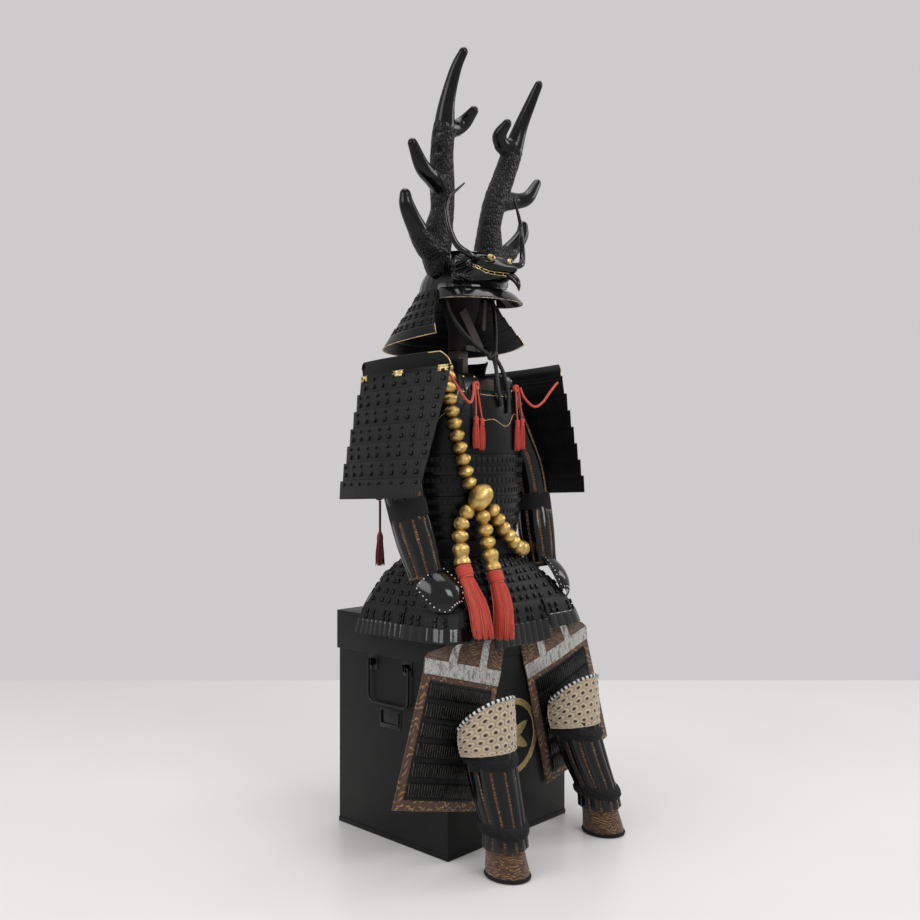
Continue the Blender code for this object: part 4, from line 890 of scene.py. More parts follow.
def strap_surface(side):
    def surface(across, down):
        angle = math.radians(between(20, 36, across))
        front = [torso_point(angle, z, STRAP_OUT) for z in (1.088, CHEST_TOP_Z)]
        back = [torso_point(math.pi - angle, z, STRAP_OUT) for z in (BACK_TOP_Z, 1.105)]
        x = front[1].x
        level = [Vector((x, y, STRAP_TOP_Z)) for y in STRAP_LEVEL]
        front_bend, back_bend = Vector((x, front[1].y + 0.012, 1.146)), Vector((x, back[0].y - 0.010, 1.152))
        place = spot_on([*front, front_bend, *level, back_bend, *back], min(max(down, 0.0), 1.0))
        return Vector((side * place.x, place.y, place.z))
    return surface


strap_studs = []
for hand, side in SIDES:
    surface = strap_surface(side)
    core = Vector((side * 0.08, -0.03, 1.05))
    strap = plate(surface, 8, 60, bevel=0.0010, core=core)
    piece(strap, f"shoulder_strap_{hand}_plate", "cuirass", f"shoulder_strap_{hand}")
    strap_studs += [seat(surface, across, down, 0.003, core) for across in (0.15, 0.85)
                    for down in (0.10, 0.22, 0.38, 0.55, 0.72, 0.9)]
piece(copies(dome(0.0028, 0.0016), strap_studs), "strap_studs", "trim_gold")

COLLAR_RADIUS, COLLAR_FOOT_Z = 0.070, STRAP_TOP_Z + 0.003 + 2 * GAP


def collar_surface(across, down):
    angle = math.radians(between(-55, 235, across))
    radius = COLLAR_RADIUS + 0.009 * (1 - down) ** 1.6
    z = between(COLLAR_FOOT_Z + 0.034, COLLAR_FOOT_Z, down)
    return Vector((radius * math.cos(angle), BODY_Y + 0.010 + 0.9 * radius * math.sin(angle), z))


neck = Vector((0, BODY_Y + 0.010, 1.18))
collar_plate = plate(collar_surface, 48, 5, core=neck, bevel=0.0010)
collar_edge = as_mesh(lines([[collar_surface(share, 0.0) for share in shares(60)]], 0.0019, rounds=3))
piece(joined([collar_plate, collar_edge]), "neck_collar", "cuirass", "collar")

SASH_TOP_Z, SASH_FOOT_Z, SASH_OUT = 0.738, 0.700, 0.0067


def sash_surface(across, down):
    angle = 2 * math.pi * across
    folds = 0.0008 * math.sin(4 * math.pi * down + 1.5 * math.sin(3 * angle))
    folds += 0.0006 * math.sin(9 * math.pi * down)
    bulge = 0.0024 * math.sin(math.pi * min(max(down, 0), 1)) + folds
    return torso_point(angle, between(SASH_TOP_Z, SASH_FOOT_Z, down), SASH_OUT + bulge)


sash = plate(sash_surface, 96, 14, 0.0025, bevel=0)
piece(sash, "waist_wrap", "black_cloth", "waist_sash")

# %% [markdown]
# ## The skirt
# Seven hanging sections of five laced plates each. The front ones bend over the lid's edge and flare outwards. The
# lowest plate of each is glossy and fluted, the others dull, with lacing knots in rows.

# %% Skirt sections
SKIRT_TOP_Z, SKIRT_KNEE_Z = WAIST_Z + 0.004, 0.5645
SKIRT_WAIST_OUT, SKIRT_CLEAR, SKIRT_FLARE, SKIRT_BEND, SKIRT_HUMP = 0.0047, 0.018, 0.022, 0.66, 0.012
SKIRT_CORNER, SKIRT_LIFT, SKIRT_LAMES = 10.0, 0.0045, 5
LID_HALF_X, LID_HALF_Y = BOX_WIDTH / 2 + LID_OVERHANG, BOX_DEPTH / 2 + LID_OVERHANG
REST_HALF_X, REST_HALF_Y, REST_CORNER, REST_Z = 0.210, 0.186, 4.0, 0.5555
SECTIONS = (
    ("skirt_front", 0, 24.3, 0.484),
    ("skirt_front_left", 48.6, 23.9, 0.512),
    ("skirt_front_right", -48.6, 23.9, 0.512),
    ("skirt_side_left", 90, 17.1, 0.510),
    ("skirt_side_right", -90, 17.1, 0.510),
    ("skirt_back_left", 143.6, 36.1, REST_Z),
    ("skirt_back_right", -143.6, 36.1, REST_Z),
)


def rounded_square(angle, half_x, half_y, corner):
    sine, cosine = math.sin(angle), math.cos(angle)
    reach = (abs(sine / half_x) ** corner + abs(cosine / half_y) ** corner) ** (-1 / corner)
    return Vector((reach * sine, -reach * cosine, 0))


def skirt_slope(angle, edge, edge_z, part):
    place = torso_point(angle, WAIST_Z, SKIRT_WAIST_OUT).lerp(edge, part)
    place.z = between(SKIRT_TOP_Z, edge_z, part) + SKIRT_HUMP * math.sin(math.pi * part)
    return place


def skirt_point(angle, share, out, foot_z):
    """Share runs from 0 at the waist to 1 at the foot."""
    knee = rounded_square(angle, LID_HALF_X + SKIRT_CLEAR, LID_HALF_Y + SKIRT_CLEAR, SKIRT_CORNER)
    if foot_z == REST_Z:
        place = skirt_slope(angle, rounded_square(angle, REST_HALF_X, REST_HALF_Y, REST_CORNER), REST_Z, share)
    elif share < SKIRT_BEND:
        place = skirt_slope(angle, knee, SKIRT_KNEE_Z, share / SKIRT_BEND)
    else:
        wide = SKIRT_CLEAR + SKIRT_FLARE
        foot = rounded_square(angle, LID_HALF_X + wide, LID_HALF_Y + wide, SKIRT_CORNER)
        part = (share - SKIRT_BEND) / (1 - SKIRT_BEND)
        place = knee.lerp(foot, part)
        place.z = between(SKIRT_KNEE_Z, foot_z, part)
    away = Vector((place.x, place.y - BODY_Y, 0)).normalized()
    return place + (away * 0.8 + Vector((0, 0, 0.6))) * out


def skirt_lame(middle, half, foot_z, i, fluted=0.0):
    start, end = lame_spans(SKIRT_LAMES, 0.006)[i]

    def surface(across, down):
        angle = math.radians(middle + between(-half, half, across))
        flute = fluted * abs(math.sin(math.pi * 9 * across)) ** 0.5
        sway = 0.0022 * math.sin(0.17 * middle + 1.9 * i + 5.2 * across) * min(1.0, 2.0 * start)
        out = SKIRT_LIFT * (1 - down) + flute + sway
        return skirt_point(angle, max(0.0, between(start, end, down)), out, foot_z)
    return surface


skirt_knots = []
for name, middle, half, foot_z in SECTIONS:
    plates = []
    columns = max(4, round(half / 3.4))
    for i in range(SKIRT_LAMES - 1):
        surface = skirt_lame(middle, half, foot_z, i)
        plates.append(plate(surface, 24, 6, 0.0028, bevel=0.0008))
        for k in range(columns):
            across = (k + 0.5 + 0.22 * math.sin(3 * k + 5 * i)) / columns
            skirt_knots += [seat(surface, across, down, 0.0026, turn=0.12 * math.sin(5 * k + 3 * i + down))
                            for down in (0.34, 0.74)]
    piece(joined(plates), f"{name}_plates", "plate", name)
    last = skirt_lame(middle, half, foot_z, SKIRT_LAMES - 1, 0.0016)
    hem = plate(last, 72, 6, 0.0028, bevel=0.0008)
    piece(hem, f"{name}_hem", "gloss")
piece(copies(knot(0.0115, 0.0125, 0.0040), skirt_knots), "skirt_knots", "satin")

# %% [markdown]
# ## Shoulder guards
# Each is a leaning crown plate, a rail with engraved gilt fittings, and seven laced plates that step outwards as
# they go down. The knots of the lacing are one small bevelled block, seated in pairs.

# %% Shoulder guards
SODE_LAMES, SODE_STEP, SODE_LIFT, SODE_BULGE = 7, 0.004, 0.0062, 0.0176
SODE_FRONT_TOP, SODE_BACK_TOP = Vector((0.2065, -0.1950, 1.160)), Vector((0.2065, 0.1200, 1.148))
SODE_FRONT_FOOT, SODE_BACK_FOOT = Vector((0.3170, -0.1920, 0.852)), Vector((0.2750, 0.1320, 0.840))
CROWN_RISE, CROWN_LEAN = 0.036, 0.014


def sode_point(side, across, down, out=0.0):
    """Across runs from the front edge to the back one, and down from the top to the foot."""
    place = SODE_FRONT_TOP.lerp(SODE_BACK_TOP, across).lerp(SODE_FRONT_FOOT.lerp(SODE_BACK_FOOT, across), down)
    return Vector((side * (place.x + SODE_BULGE * (1 - (2 * across - 1) ** 2) + out), place.y, place.z))


def sode_lame(side, i):
    """The upper edge of each plate stands out over the one above, and is a little wider."""
    start, end = lame_spans(SODE_LAMES, 0.005)[i]

    def surface(across, down):
        wide = 1 + (0.028 * (1 - down) if i else 0.0)
        share = max(0.0, between(start, end, down))
        return sode_point(side, 0.5 + (across - 0.5) * wide, share, SODE_LIFT * (1 - down))
    return surface


def crown_surface(side):
    def surface(across, down):
        rise = 1 - down
        end = max(0.0, abs(2 * across - 1) - 0.86) / 0.14
        inset = 0.024 * end * (1 - math.sqrt(max(0.0, 1 - (0.97 * rise) ** 2)))
        place = sode_point(side, across, 0.0, SODE_STEP)
        return place + Vector((side * CROWN_LEAN * rise**2, inset if across < 0.5 else -inset,
                               GAP + CROWN_RISE * rise * (1 - (0.14 if across < 0.5 else 0.34) * end**2)))
    return surface


def rail_surface(side, out):
    def surface(across, down):
        rise = Vector((0, 0, between(0.0035, -0.0100, down)))
        return sode_point(side, across, 0.0, SODE_STEP + 0.0022 + out) + rise
    return surface


def fitting_surface(side, middle, wide):
    """A gilt plate with forked ends on the rail, its engraving pressed in as low waves."""
    ground = rail_surface(side, 0.0042)

    def surface(across, down):
        fork = 1 - 0.28 * abs(math.sin(2 * math.pi * down))
        relief = 0.0007 * math.sin(16 * across * math.pi) * math.sin(2 * math.pi * down)
        at = middle + wide / 2 * (2 * across - 1) * fork
        place = ground(min(max(at, 0.0), 1.0), between(-0.02, 1.02, down))
        return place + Vector((side * relief, 0, 0))
    return surface


SODE_KNOT_COLUMNS = 8
for hand, side in SIDES:
    plates, upper_knots, lower_knots = [], [], []
    for i in range(SODE_LAMES):
        surface = sode_lame(side, i)
        plates.append(plate(surface, 28, 4, 0.0028, bevel=0.0008))
        for k in range(SODE_KNOT_COLUMNS):
            across = (k + 0.45 + (0.10 if i % 2 else -0.10) + 0.05 * math.sin(9 * k + 4 * i)) / SODE_KNOT_COLUMNS
            tilt = 0.14 * math.sin(4 * k + 7 * i)
            upper_knots.append(seat(surface, across + 0.010, 0.20, 0.0026, turn=tilt))
            if i < SODE_LAMES - 1:
                lower_knots.append(seat(surface, across, 0.62, 0.0026, turn=-tilt))
    piece(joined(plates), f"shoulder_guard_{hand}_plates", "plate", f"shoulder_guard_{hand}")
    upper_knots = copies(knot(0.0088, 0.0078, 0.0042), upper_knots)
    lower_knots = copies(knot(0.0122, 0.0108, 0.0046), lower_knots)
    piece(joined([upper_knots, lower_knots]), f"shoulder_guard_{hand}_knots", "satin")
    crown = crown_surface(side)
    crown_plate = plate(crown, 40, 12, 0.0028, -1, 0.0009)
    piece(crown_plate, f"shoulder_crown_{hand}_plate", "satin", f"shoulder_crown_{hand}")
    edge = [crown(0.004, 0.9 - 0.8 * s) for s in shares(10)] + [crown(0.01 + 0.16 * s, 0.03) for s in shares(8)]
    piece(as_mesh(lines([edge], 0.0013)), f"crown_edge_{hand}", "trim_gold")
    rail = plate(rail_surface(side, 0.0), 40, 3, 0.0040, bevel=0.0012)
    piece(rail, f"shoulder_rail_{hand}", "satin")
    fittings = []
    for middle, wide in ((0.055, 0.105), (0.50, 0.135), (0.945, 0.105)):
        fittings.append(plate(fitting_surface(side, middle, wide), 30, 10, 0.0012, bevel=0.0003))
    piece(joined(fittings), f"rail_fittings_{hand}", "trim_gold")

# %% [markdown]
# ## Sleeves and hand guards
# The sleeves are brocade tubes that carry long lacquered splints with gaps of brocade between them. The hand guards
# are deep domes of mirror-black lacquer with small studs round the edge.

# %% Sleeves
SLEEVE = (
    (0, 0.178, -0.012, 1.124, 0.033, 0.043), (1, 0.192, -0.018, 1.080, 0.040, 0.050),
    (2, 0.2195, -0.030, 1.005, 0.0425, 0.051), (3, 0.2395, -0.050, 0.925, 0.044, 0.051),
    (4, 0.2395, -0.073, 0.833, 0.042, 0.047), (5, 0.2285, -0.096, 0.745, 0.041, 0.046),
    (6, 0.2195, -0.117, 0.672, 0.035, 0.040), (7, 0.2185, -0.121, 0.655, 0.038, 0.043),
)


def sleeve_point(side, turn, row, out=0.0):
    """Turn is a share of the way round, from the front towards the outside."""
    x, y, z, wide, deep = curve_at(SLEEVE, row)
    ahead, behind = curve_at(SLEEVE, row + 0.25), curve_at(SLEEVE, row - 0.25)
    along = Vector([a - b for a, b in zip(ahead[:3], behind[:3])]).normalized()
    forward = Vector((0, -1, 0))
    forward = (forward - along * forward.dot(along)).normalized()
    across = forward.cross(along).normalized()
    angle = 2 * math.pi * turn
    place = Vector((x, y, z)) + across * (wide + out) * math.sin(angle) + forward * (deep + out) * math.cos(angle)
    return Vector((side * place.x, place.y, place.z))


for hand, side in SIDES:
    core = Vector((side * 0.225, -0.06, 0.88))
    tube = plate(lambda across, down: sleeve_point(side, across, 7 * down,
                                                   0.0012 * math.sin(26 * down + 3 * math.sin(6.3 * across))),
                 40, 60, 0.0022, 1, 0, core)
    piece(tube, f"sleeve_{hand}_cloth", "brocade", f"sleeve_{hand}")
    splints = []
    joint = plate(lambda a, d: sleeve_point(side, a, between(3.90, 4.42, d), 0.0026 + 0.0006 * math.sin(40 * a)),
                  60, 5, 0.0020, 1, 0, core)
    piece(joint, f"sleeve_{hand}_elbow_band", "black_cloth")
    for low, high, count, fill in ((1.0, 4.0, 9, 0.74), (4.35, 6.35, 9, 0.76)):
        for k in range(count):
            middle = (k + 0.5) / count
            half = fill / (2 * count)

            def splint(across, down):
                arch = 0.0022 * (1 - (2 * across - 1) ** 2) * min(1.0, 12 * min(down, 1 - down) + 0.3)
                turn = middle + between(-half, half, across)
                return sleeve_point(side, turn, between(low, high, down), 0.0026 + arch)

            splints.append(plate(splint, 5, 18, 0.0010, 1, 0, core.lerp(splint(0.5, 0.5), 0.001)))
    piece(joined(splints), f"sleeve_{hand}_splints", "gloss")
    cuff = [sleeve_point(side, share, 6.97, 0.0016) for share in shares(41)[:-1]]
    piece(as_mesh(lines([cuff], 0.0022, True, 3)), f"sleeve_{hand}_edge", "black_silk")

# %% Hand guards
HAND_CENTRE = Vector((0.2215, -0.1665, 0.6340))
HAND_ALONG = Vector((-0.16, -0.76, -0.62)).normalized()
HAND_UP = Vector((0.55, -0.42, 0.72))
HAND_LENGTH, HAND_WIDTH, HAND_DOME, HAND_START = 0.126, 0.104, 0.028, -0.66


def hand_surface(side):
    up = (HAND_UP - HAND_ALONG * HAND_UP.dot(HAND_ALONG)).normalized()
    out = HAND_ALONG.cross(up).normalized()

    def surface(across, down):
        along = between(HAND_START, 1, down)
        half = HAND_WIDTH / 2 * (0.74 + 0.26 * math.cos(along * 1.3))
        half *= 1 - 0.42 * max(0.0, along - 0.55) / 0.45
        wide = 2 * across - 1
        dome_rise = HAND_DOME * (1 - wide**2) * (1 - 0.35 * along**2) - 0.012 * max(0.0, along) ** 2
        place = HAND_CENTRE + HAND_ALONG * (HAND_LENGTH / 2 * along) + out * (half * wide) + up * dome_rise
        return Vector((side * place.x, place.y, place.z))
    return surface


for hand, side in SIDES:
    surface = hand_surface(side)
    core = Vector((side * 0.21, -0.16, 0.60))
    guard = plate(surface, 24, 30, 0.0028, -1, 0.0010, core)
    piece(guard, f"hand_guard_{hand}_plate", "gloss", f"hand_guard_{hand}")
    spots = [(across, down) for across in (0.07, 0.93) for down in (0.08, 0.20, 0.32, 0.44, 0.56, 0.68, 0.80, 0.90)]
    spots += [(across, down) for down in (0.05, 0.95) for across in (0.18, 0.31, 0.44, 0.56, 0.69, 0.82)]
    studs = [seat(surface, *spot, 0.0, core) for spot in spots]
    piece(copies(dome(0.0019, 0.0016, 8), studs), f"hand_studs_{hand}", "pale")

# %% [markdown]
# ## Thigh guards
# Two splayed cloth panels lie on the lid and hang down in front. They are brocade at the top and round the edge,
# with a silver leather band, and below it a black field of six puffed rows of narrow plates, each with a thin pale bar
# that is a painted highlight on its edge.

# %% Thigh guards
THIGH_THICK, THIGH_BEND, THIGH_SAG = 0.0035, 0.0012, 0.006
THIGH_FRONT_Y = -LID_HALF_Y - GAP
THIGH_TURN = THIGH_BEND * math.pi / 2
THIGH_TOP_Z = BOX_HEIGHT + GAP - THIGH_BEND
BAND_OUT = THIGH_THICK + GAP
THIGH = (
    (0, 0.012, 0.640, 0.150, 0.640), (1, 0.012, 0.5560, 0.218, 0.5560),
    (2, 0.012, THIGH_TOP_Z + THIGH_TURN, 0.220, THIGH_TOP_Z + THIGH_TURN),
    (3, 0.012, THIGH_TOP_Z + THIGH_TURN / 2, 0.220, THIGH_TOP_Z + THIGH_TURN / 2),
    (4, 0.012, THIGH_TOP_Z, 0.220, THIGH_TOP_Z), (5, 0.018, 0.525, 0.225, 0.5120),
    (6, 0.023, 0.507, 0.292, 0.5000), (7, 0.046, 0.420, 0.3065, 0.490), (8, 0.058, 0.384, 0.3115, 0.456),
    (9, 0.098, 0.241, 0.360, 0.3125), (10, 0.137, 0.098, 0.408, 0.169),
)


def thigh_point(side, across, row, out=0.0):
    """Height above the lid's edge is turned back to lie on the lid."""
    inner_x, inner_z, outer_x, outer_z = table_at(THIGH, row)
    x, height = between(inner_x, outer_x, across), between(inner_z, outer_z, across)
    sag = THIGH_SAG * math.sin(math.pi * across) * min(1.0, max(0.0, (0.50 - height) / 0.1))
    over = height - THIGH_TOP_Z
    if over <= 0:
        return Vector((side * x, THIGH_FRONT_Y - sag - out, height))
    if over < THIGH_TURN:
        angle, reach = over / THIGH_BEND, THIGH_BEND + out
        return Vector((side * x, THIGH_FRONT_Y + THIGH_BEND - reach * math.cos(angle),
                       THIGH_TOP_Z + reach * math.sin(angle)))
    return Vector((side * x, THIGH_FRONT_Y + THIGH_BEND + over - THIGH_TURN, THIGH_TOP_Z + THIGH_BEND + out))


FIELD_LOW, FIELD_HIGH, FIELD_SIDE = 8.08, 9.84, 0.085
SPLINT_ROWS, SPLINT_COLUMNS = 6, 28
STRAP_STARTS, STRAP_WIDE = (0.22, 0.62), 0.10
for hand, side in SIDES:
    core = Vector((side * 0.2, 0.3, 0.3))

    def panel(across, down):
        return thigh_point(side, across, 10 * down)

    cloth = plate(panel, 30, 60, THIGH_THICK, 1, 0.0008, core)
    piece(cloth, f"thigh_panel_{hand}_cloth", "brocade", f"thigh_panel_{hand}")
    foot_width = length_of([panel(share, 1.0) for share in shares(12)])
    band = plate(lambda a, d: thigh_point(side, a, between(7.0, 8.0, d), BAND_OUT), 30, 8, 0.0015, 1, 0.0004, core)
    straps = []
    for low in STRAP_STARTS:
        def strap(across, down):
            return thigh_point(side, low + STRAP_WIDE * across, between(5.2, 7.0, down), BAND_OUT)

        straps.append(plate(strap, 4, 12, 0.0012, 1, 0.0004, core))
    piece(joined([band, *straps]), f"thigh_band_{hand}_leather", "leather", f"thigh_band_{hand}")

    def field_point(across, down):
        quilting = 0.0014 * abs(math.sin(math.pi * SPLINT_ROWS * down)) ** 0.7
        return thigh_point(side, between(FIELD_SIDE, 1 - FIELD_SIDE, across), between(FIELD_LOW, FIELD_HIGH, down),
                           BAND_OUT + 2 * GAP + quilting)

    field = plate(field_point, 24, 60, 0.0010, 1, 0.0003, core)
    piece(field, f"thigh_field_{hand}", "plate")
    small, painted_highlight_bars = [], []
    for i in range(SPLINT_ROWS):
        down = (i + 0.5) / SPLINT_ROWS
        for k in range(SPLINT_COLUMNS):
            across = between(0.02, 0.98, (k + 0.5) / SPLINT_COLUMNS)
            small.append(seat(field_point, across, down, 0.0009, core))
            # Beside each plate sits a thin pale bar, a painted highlight on the plate's edge.
            painted_highlight_bars.append(seat(field_point, across + 0.42 / SPLINT_COLUMNS, down, 0.0009, core, 0.05 * math.sin(5 * k + i)))
    splints = copies(knot(0.0048, 0.0340, 0.0020), small)
    piece(splints, f"thigh_splints_{hand}_plates", "cuirass", f"thigh_splints_{hand}")
    # The pale bars are painted highlights on the plates' edges.
    piece(copies(knot(0.0013, 0.0290, 0.0022), painted_highlight_bars), f"thigh_slits_{hand}", "edge_highlight")
    border = [panel(0.012, d) for d in [between(0.52, 0.995, s) for s in shares(20)]]
    border += [panel(a, 0.995) for a in [between(0.03, 0.97, s) for s in shares(20)]]
    border += [panel(0.988, d) for d in [between(0.995, 0.52, s) for s in shares(20)]]
    border = [p + Vector((0, -0.0016, 0)) for p in border]
    piece(as_mesh(lines([border], 0.0021, rounds=2)), f"thigh_edge_{hand}", "black_silk")

# %% [markdown]
# ## Shins, knees and feet
# The shin guards are upright black splints over brocade. The knee guard is quilted in hexagons: each point of its
# fine grid is raised by its distance to the nearest seam, and the seams and dots are saved as attributes for the
# material to read.

# %% Shin guards
SHIN = (
    (0.0600, 0.1845, -0.3377, 0.0470, 0.0510), (0.0900, 0.1830, -0.3347, 0.0455, 0.0475),
    (0.118, 0.1800, -0.3267, 0.0450, 0.0470), (0.180, 0.1720, -0.3007, 0.0520, 0.0520),
    (0.250, 0.1670, -0.2777, 0.0555, 0.0550), (0.330, 0.1660, -0.2667, 0.0560, 0.0560),
)
SHIN_TOP_Z, SHIN_FOOT_Z = 0.330, 0.064
SHIN_OPEN = math.radians(150)
SHIN_SPLINTS = 9


def shin_point(side, angle, z, out=0.0):
    x, y, wide, deep = curve_at(SHIN, z)
    return Vector((side * (x + (wide + out) * math.sin(angle)), y - (deep + out) * math.cos(angle), z))


for hand, side in SIDES:
    core = Vector((side * 0.172, -0.300, 0.20))
    def wrap_surface(across, down):
        return shin_point(side, between(-SHIN_OPEN, SHIN_OPEN, across), between(SHIN_TOP_Z, SHIN_FOOT_Z, down))

    wrap = plate(wrap_surface, 60, 26, 0.0020, 1, 0, core)
    piece(wrap, f"shin_wrap_{hand}", "brocade", f"shin_guard_{hand}")
    splints = []
    for k in range(SHIN_SPLINTS):
        middle = between(-SHIN_OPEN, SHIN_OPEN, (k + 0.5) / SHIN_SPLINTS)
        half = 0.40 * 2 * SHIN_OPEN / SHIN_SPLINTS

        def splint(a, d):
            arch = 0.0026 * (1 - (2 * a - 1) ** 2) + 0.0006 * math.sin(9 * d + 2 * k)
            z = between(0.322, SHIN_FOOT_Z + 0.003, d)
            return shin_point(side, middle + between(-half, half, a), z, 0.0022 + arch)

        splints.append(plate(splint, 6, 22, 0.0014, 1, 0.0004, core))
    piece(joined(splints), f"shin_splints_{hand}", "gloss")
    ties = []
    for top_z, foot_z, proud in ((0.119, 0.093, 0.0080), (0.262, 0.236, 0.0055)):
        def band(a, d):
            tufts = noise.noise(Vector((30 * a, 9 * d, top_z * 50 + side)))
            tufts += 0.6 * noise.noise(Vector((90 * a, 30 * d, side)))
            round_off = math.sin(math.pi * min(max(d, 0.0), 1.0)) ** 0.6
            z = between(top_z, foot_z, d) + 0.004 * math.sin(9 * a)
            out = 0.0034 + (proud + 0.0028 * tufts) * round_off
            return shin_point(side, between(-SHIN_OPEN, SHIN_OPEN, a), z, out)

        ties.append(plate(band, 150, 14, 0.0012, 1, 0, core))
    piece(joined(ties), f"shin_ties_{hand}", "black_cloth")

# %% Knee guards
KNEE_FOOT, KNEE_TOP, KNEE_SPREAD = (0.272, 0.262), (0.394, 0.322), math.radians(108)
KNEE_FLARE, HEX, DOT_RADIUS = 0.0130, 0.0205, 0.0047
QUILT_WIDE, QUILT_HIGH = 0.215, 0.125


def hexagon(u, v):
    """(distance to the nearest cell's centre, distance to the nearest seam) on a honeycomb, in metres."""
    rise = HEX * math.sqrt(3) / 2
    row = math.floor(v / rise)
    spots = []
    for r in (row - 1, row, row + 1, row + 2):
        shift = HEX / 2 if r % 2 else 0.0
        column = round((u - shift) / HEX)
        spots += [(c * HEX + shift - u, r * rise - v) for c in (column - 1, column, column + 1)]
    spots.sort(key=lambda spot: spot[0] ** 2 + spot[1] ** 2)
    (ax, ay), (bx, by) = spots[:2]
    gap = math.hypot(bx - ax, by - ay)
    seam = ((bx * bx + by * by) - (ax * ax + ay * ay)) / (2 * gap)
    return math.hypot(ax, ay), seam


def knee_surface(side):
    def surface(across, down):
        angle = between(-KNEE_SPREAD, KNEE_SPREAD, across)
        up = 1 - down
        edge = abs(2 * across - 1) ** 2.2
        z = between(between(KNEE_FOOT[0], KNEE_TOP[0], up), between(KNEE_FOOT[1], KNEE_TOP[1], up), edge)
        _, seam = hexagon((across - 0.5) * QUILT_WIDE, up * QUILT_HIGH)
        puff = 0.0026 * min(1.0, seam / 0.0055) ** 0.6
        flare = KNEE_FLARE * max(0.0, abs(2 * across - 1) - 0.35) / 0.65
        return shin_point(side, angle, z, 0.0044 + 0.004 * math.sin(math.pi * min(max(up, 0), 1)) + puff + flare)
    return surface


for hand, side in SIDES:
    core = Vector((side * 0.166, -0.267, 0.32))
    surface = knee_surface(side)
    quilt = plate(surface, 150, 88, 0, 1, 0, core)
    seams = quilt.data.attributes.new("seam", "FLOAT", "POINT")
    dots = quilt.data.attributes.new("dot", "FLOAT", "POINT")
    flat_spots = [(0.0, 0.0)] * len(quilt.data.vertices)
    width, height = quilt["flat"]
    for loop, corner in zip(quilt.data.loops, quilt.data.uv_layers.active.data):
        flat_spots[loop.vertex_index] = (corner.uv.x / width, corner.uv.y / height)
    for i, (u, v) in enumerate(flat_spots):
        to_centre, to_seam = hexagon((u - 0.5) * QUILT_WIDE, v * QUILT_HIGH)
        seams.data[i].value = max(0.0, 1 - to_seam / 0.0016)
        dots.data[i].value = min(1.0, max(0.0, (DOT_RADIUS - to_centre) / 0.0008))
    wall = quilt.modifiers.new("wall", "SOLIDIFY")
    wall.thickness, wall.offset = 0.004, -1
    finish_modifiers(quilt)
    piece(quilt, f"knee_quilt_{hand}", "quilt", f"knee_guard_{hand}")
    trim = evenly([surface(s, 0.0) for s in shares(24)], 0.0030)
    dark = [trim[i:i + 3] for i in range(0, len(trim) - 2, 4)]
    light = [trim[i:i + 3] for i in range(2, len(trim) - 2, 4)]
    piece(as_mesh(lines(dark, 0.0040)), f"knee_trim_dark_{hand}", "black_silk")
    piece(as_mesh(lines(light, 0.0041)), f"knee_trim_light_{hand}", "pale")
    rim = [surface(s, 1.0) for s in shares(60)]
    rim_sides = [[surface(a, d) for d in shares(24)] for a in (0.0, 1.0)]
    piece(as_mesh(lines([rim, *rim_sides], 0.0020)), f"knee_rim_{hand}", "quilt")

    def belt(a, d):
        z = between(0.282, 0.236, d) - 0.010 * abs(2 * a - 1) ** 2.2
        return shin_point(side, between(-KNEE_SPREAD, KNEE_SPREAD, a), z, 0.0042)

    piece(plate(belt, 50, 4, 0.0014, 1, 0.0004, core), f"knee_belt_{hand}", "black_cloth")

# %% Feet
FOOT = (
    (0.000, 0.1860, -0.3477, 0.0430, 0.0520), (0.012, 0.1860, -0.3467, 0.0450, 0.0540),
    (0.050, 0.1845, -0.3397, 0.0430, 0.0470), (0.0886, 0.1822, -0.3307, 0.0425, 0.0440),
)
SOLE_DOWN = 0.94


def foot_surface(side):
    def surface(across, down):
        z = between(0.0886, 0.0, down)
        x, y, wide, deep = curve_at(FOOT, z)
        angle = 2 * math.pi * across
        tuck = 0.004 * max(0.0, 0.006 - z) / 0.006
        return Vector((side * (x + (wide - tuck) * math.sin(angle)), y - (deep - tuck) * math.cos(angle), z))
    return surface


for hand, side in SIDES:
    surface = foot_surface(side)
    core = Vector((side * 0.185, -0.340, 0.045))
    shoe = plate(surface, 48, 20, 0.003, -1, 0, core)
    piece(shoe, f"foot_{hand}_cloth", "brocade", f"foot_{hand}")
    sole = as_mesh(lines([[surface(s, SOLE_DOWN) for s in shares(61)[:-1]]], 0.0048, True))
    piece(sole, f"foot_sole_{hand}", "black_cloth")

# %% [markdown]
# ## The helmet
# A ridged bowl, a peak with a thin bright rim, and a neck guard of five plates that flare like a bell.

# %% Bowl, peak and neck guard
BOWL = ((1.366, 0.1060), (1.400, 0.0985), (1.424, 0.0860), (1.443, 0.0670), (1.456, 0.0420), (1.462, 0.0010))
BOWL_LONG = 1.10
RIDGES = 31


def bowl_point(angle, height, radius, out=0.0):
    y = HELMET_Y - (radius * BOWL_LONG + out) * math.cos(angle)
    return Vector(((radius + out) * math.sin(angle), y, height))


def bowl_surface(across, down):
    angle = 2 * math.pi * across
    up = 1 - down
    z = between(1.366, 1.462, math.sin(math.pi / 2 * up))
    radius, = curve_at(BOWL, z)
    ridge = 0.0009 * abs(math.cos(RIDGES * angle / 2)) ** 6 * min(1.0, radius / 0.05)
    return bowl_point(angle, z, radius, ridge - 0.0006)


bowl = plate(bowl_surface, 248, 20, 0, core=Vector((0, HELMET_Y, 1.38)), bevel=0)
piece(bowl, "bowl_ridged", "gloss", "helmet_bowl")

VISOR_SPREAD, VISOR_REACH, VISOR_Z, VISOR_RADIUS, VISOR_OUT = math.radians(76), 0.052, 1.3700, 0.1051, 0.0012


